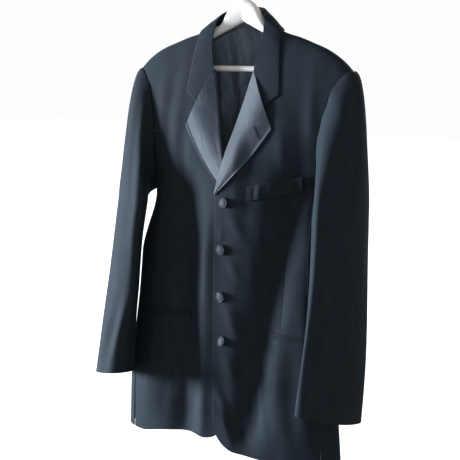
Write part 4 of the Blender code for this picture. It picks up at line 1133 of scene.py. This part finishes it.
def covered_button(name, centre, normal, radius, thick, node, tip=(0.0, 0.0)):
    """Surface of revolution about the normal: profile radius and height, turned a full circle; the normal is
    tipped sideways and upwards by two small shares."""
    place = np.linspace(0, 1, 34)
    keys = np.linspace(0, 1, len(BUTTON_PROFILE))
    table = [(key, *row) for key, row in zip(keys, BUTTON_PROFILE)]
    out, high = along(table, 1, place) * radius, along(table, 2, place) * thick
    axis = np.array(normal) / np.linalg.norm(normal)
    side = np.cross(axis, (0, 0, 1))
    side /= np.linalg.norm(side)
    top = np.cross(side, axis)
    axis = axis + side * tip[0] + top * tip[1]
    axis /= np.linalg.norm(axis)
    side = np.cross(axis, top)
    side /= np.linalg.norm(side)
    top = np.cross(side, axis)
    turn = np.linspace(0, 2 * math.pi, 48, endpoint=False)
    wrinkle = 1 + 0.012 * np.sin(turn * 11) * (place[:, None] > 0.62)
    ring = side * np.cos(turn)[:, None] + top * np.sin(turn)[:, None]
    points = np.array(centre) + ring[None] * (out[:, None] * wrinkle)[..., None] + axis * high[:, None, None]
    made = grid_object(name, points, ["button"], closed_round=True)
    mesh = made.data
    flat = np.stack([(points - centre) @ side, (points - centre) @ top], axis=-1).reshape(-1, 2)
    index = np.empty(len(mesh.loops), int)
    mesh.loops.foreach_get("vertex_index", index)
    mesh.uv_layers["cloth"].data.foreach_set("uv", flat[index].ravel())
    weld = made.modifiers.new("closed poles", "WELD")
    weld.merge_threshold = 0.00002
    return settle(made, "button", node)


TIPS = ((0.10, 0.05), (0.06, 0.02), (0.12, -0.02), (0.30, 0.34))
for number, ((x, button_drop), tip) in enumerate(zip(BUTTONS, TIPS), 1):
    x, z = np.array(x), np.array(SHOULDER_Z - button_drop)
    centre = on_front(1, x, z, np.array(0.0010))
    normal = skin(-1, x, level_at(-1, x, z))[1]
    covered_button(f"front_button_{number}", centre, normal, 0.0105, 0.0056, f"button_{number}", tip)

# The worked end of each buttonhole lies beside its button, towards the wearer's left
for number, (x, button_drop) in enumerate(BUTTONS, 1):
    run = np.linspace(0.008, 0.0165, 60)
    path = on_front(1, x + run, SHOULDER_Z - button_drop + 0 * run, np.full(run.shape, 0.0004))
    stitched(f"front_buttonhole_{number}", path, 0.0006, "satin", 20)

CUFF_RISES = (0.031, 0.0461, 0.0612)
CUFF_TURN = 318.0
for hand, word in WORDS.items():
    for number, rise in enumerate(CUFF_RISES, 1):
        run = 2 - rise / (SLEEVE[-1][0] - SLEEVE[0][0])
        here = sleeve_point(hand, CUFF_TURN, run)
        down = sleeve_point(hand, CUFF_TURN, run + 0.01) - here
        around = sleeve_point(hand, CUFF_TURN + 1, run) - here
        normal = np.cross(down, around)
        normal /= np.linalg.norm(normal)
        mirror = np.array([hand, 1, 1])
        covered_button(f"cuff_{word}_button_{number}", (here + normal * 0.0009) * mirror, normal * mirror,
                       0.0073, 0.0042, f"cuff_button_{word}_{number}")
print("buttons:", len(BUTTONS) + 2 * len(CUFF_RISES))

# %% [markdown]
# ## Hanger
#
# A wide wooden hanger in white paint: arms cut from a curved board with softened edges, a round trouser
# bar, and a wire hook.

# %% Arms, bar and hook
ARM_TOP = ((0.000, 0.138), (0.030, 0.1205), (0.050, 0.0885), (0.066, 0.0775))
ARM_FOOT = (
    (0.000, 0.0920),
    (0.041, 0.0735),
    (0.070, 0.0610),
    (0.120, 0.0400),
    (0.160, 0.0240),
    (0.185, 0.0120),
    (0.205, -0.0040),
    (0.226, -0.0080),
)
ARM_END_X = 0.226
ARM_END_ROUND = 0.004
rounding = ARM_END_ROUND * np.cos(np.linspace(0, math.pi / 2, 8)[1:])
half = np.concatenate([np.linspace(0, ARM_END_X - ARM_END_ROUND, 70), ARM_END_X - rounding])
x = np.concatenate([-half[:0:-1], half])
reach = np.abs(x)
seat = shoulder_z(x) - WALL - 0.0016
middle_top = SHOULDER_Z + along(ARM_TOP, 1, reach)
top = middle_top + (seat - middle_top) * eased((reach - ARM_TOP[-2][0]) / (ARM_TOP[-1][0] - ARM_TOP[-2][0]))
foot = SHOULDER_Z + along(ARM_FOOT, 1, reach)
into_round = np.clip((reach - ARM_END_X + ARM_END_ROUND) / ARM_END_ROUND, 0, 1)
close = np.sqrt(np.clip(1 - into_round ** 2, 0.01, 1))
turn = np.linspace(0, 2 * math.pi, 40, endpoint=False)[:, None]
depth = close * (0.008 - 0.004 * eased((reach - 0.12) / (ARM_END_X - 0.12)))
y = RIDGE_LEAN * reach + 0.001 + depth * np.sign(np.cos(turn)) * np.abs(np.cos(turn)) ** 0.8
z = (top + foot) / 2 + (top - foot) / 2 * close * np.sin(turn)
arms = np.stack([np.broadcast_to(x, y.shape), y, z], axis=-1).transpose(1, 0, 2)
made = grid_object("hanger_arms_painted", arms, ["painted_wood"], closed_round=True)
settle(made, "painted_wood", "hanger_arms")


def tube(name, path, radius, slot, node, sides=24):
    """A round section carried along a path, square to its tangent, with domed ends."""
    path = np.asarray(path, float)
    tangent = np.gradient(path, axis=0)
    tangent /= np.linalg.norm(tangent, axis=1, keepdims=True)
    side = np.cross(tangent, (0, 1, 0.0001))
    side /= np.linalg.norm(side, axis=1, keepdims=True)
    top = np.cross(side, tangent)
    cap = np.linspace(0, math.pi / 2, 6)
    shrink = np.concatenate([np.sin(cap), np.ones(len(path) - 2), np.sin(cap)[::-1]])
    push = np.concatenate([-np.cos(cap), np.zeros(len(path) - 2), np.cos(cap)[::-1]]) * radius * 0.6
    pick = np.concatenate([np.zeros(6, int), np.arange(1, len(path) - 1), np.full(6, len(path) - 1)])
    turn = np.linspace(0, 2 * math.pi, sides, endpoint=False)
    ring = side[pick][:, None] * np.cos(turn)[:, None] + top[pick][:, None] * np.sin(turn)[:, None]
    points = path[pick][:, None] + tangent[pick][:, None] * push[:, None, None]
    made = grid_object(name, points + ring * radius * shrink[:, None, None], [slot], closed_round=True)
    made.modifiers.new("closed ends", "WELD").merge_threshold = 0.00002
    return settle(made, slot, node)


bar_x = np.linspace(-0.1865, 0.1865, 40)
bar_y = RIDGE_LEAN * 0.1885
bar_line = np.stack([bar_x, 0 * bar_x + bar_y, 0 * bar_x + SHOULDER_Z + 0.003], axis=1)
tube("hanger_bar_painted", bar_line, 0.0055, "painted_wood", "hanger_bar", 40)
HOOK_REACH = 0.0239
bend = np.radians(np.linspace(-52, 205, 70))
loop = np.stack([HOOK_REACH * np.cos(bend), 0 * bend, -0.022 + HOOK_REACH * np.sin(bend)], axis=1)
HOOK_NECK = ((0, 0, -0.062), (0, 0, -0.056), (0.002, 0, -0.050), (0.0075, 0, -0.0445))
shank = np.array([(0, 0, SHOULDER_Z + 0.1393), *HOOK_NECK])
tube("hanger_hook_wire", np.concatenate([shank, loop]), 0.0019, "hook_steel", "hanger_hook")

# %% [markdown]
# ## Studio
#
# A pale floor, a large soft key light from the viewer's left that models the folds, and a faint even sky.
# The camera stands where the photograph was taken: in front, towards the wearer's left, a little above the
# shoulders.

# %% Floor, lights and camera
floor_z = cad_box[0][2] - 0.25
floor_x, floor_y = np.meshgrid((-9.0, 9.0), (-9.0, 9.0), indexing="ij")
floor = grid_object("floor", np.stack([floor_x, floor_y, 0 * floor_x + floor_z], axis=-1), [])
floor_finish, _, floor_shader = finish_base("pale_floor", "#f4f4f2", 0.9, Emission_Strength=0.9)
floor_shader.inputs["Emission Color"].default_value = linear("#fdfdfd")
floor.data.materials.append(floor_finish)
floor.visible_diffuse = floor.visible_glossy = False

CAMERA_AT = np.array([1.070, -1.647, SHOULDER_Z + 0.052])
CAMERA_YAW = math.radians(33.8)
CAMERA_PITCH = math.radians(10.6)
CAMERA_FOCAL_PX = 1000.0
IMAGE_PX = 460.0
SENSOR_MM = 36.0
camera_data = bpy.data.cameras.new("camera")
camera_data.lens = CAMERA_FOCAL_PX / IMAGE_PX * SENSOR_MM
camera_data.sensor_width = SENSOR_MM
camera = bpy.data.objects.new("camera", camera_data)
bpy.context.scene.collection.objects.link(camera)
camera.location = CAMERA_AT
camera.rotation_euler = (math.pi / 2 - CAMERA_PITCH, 0.0, CAMERA_YAW)
bpy.context.scene.camera = camera

MIDDLE = np.array([0.0, -0.03, SHOULDER_Z - 0.35])


def soft_light(name, towards, distance, size, power, colour="#ffffff"):
    """An area light at a distance from the jacket's middle, facing it."""
    data = bpy.data.lights.new(name, "AREA")
    data.shape, data.size, data.energy = "SQUARE", size, power
    data.color = linear(colour)[:3]
    made = bpy.data.objects.new(name, data)
    bpy.context.scene.collection.objects.link(made)
    way = np.array(towards) / np.linalg.norm(towards)
    made.location = MIDDLE + way * distance
    yaw, rise = math.atan2(way[0], -way[1]), math.asin(way[2])
    made.rotation_euler = (math.pi / 2 - rise, 0.0, yaw)
    return made


soft_light("key", (-0.955, -0.29, -0.02), 9.0, 2.2, 3700, "#e6f0ff")
soft_light("fill", (0.7, -0.70, 0.2), 3.4, 2.5, 12)
soft_light("back", (-0.3, 0.95, 0.4), 3.2, 2.5, 30)
world = bpy.data.worlds.new("studio")
world.use_nodes = True
bpy.context.scene.world = world
sky = world.node_tree
# What the lens sees behind the jacket is a white sweep; as light on the cloth it counts for far less
background = sky.nodes["Background"]
background.inputs["Color"].default_value = linear("#fbfbfb")
background.inputs["Strength"].default_value = 0.34
sweep = add_node(sky, "ShaderNodeBackground", {"Color": linear("#fdfdfd"), "Strength": 1.0})
seen = add_node(sky, "ShaderNodeLightPath").outputs["Is Camera Ray"]
seen_or_lit = {0: seen, 1: background.outputs["Background"], 2: sweep.outputs["Background"]}
mixed = add_node(sky, "ShaderNodeMixShader", seen_or_lit)
sky.links.new(mixed.outputs["Shader"], sky.nodes["World Output"].inputs["Surface"])
bpy.context.scene.view_settings.view_transform = "Standard"

# %% Box of the solids
print("box of the solids:", cad_box)
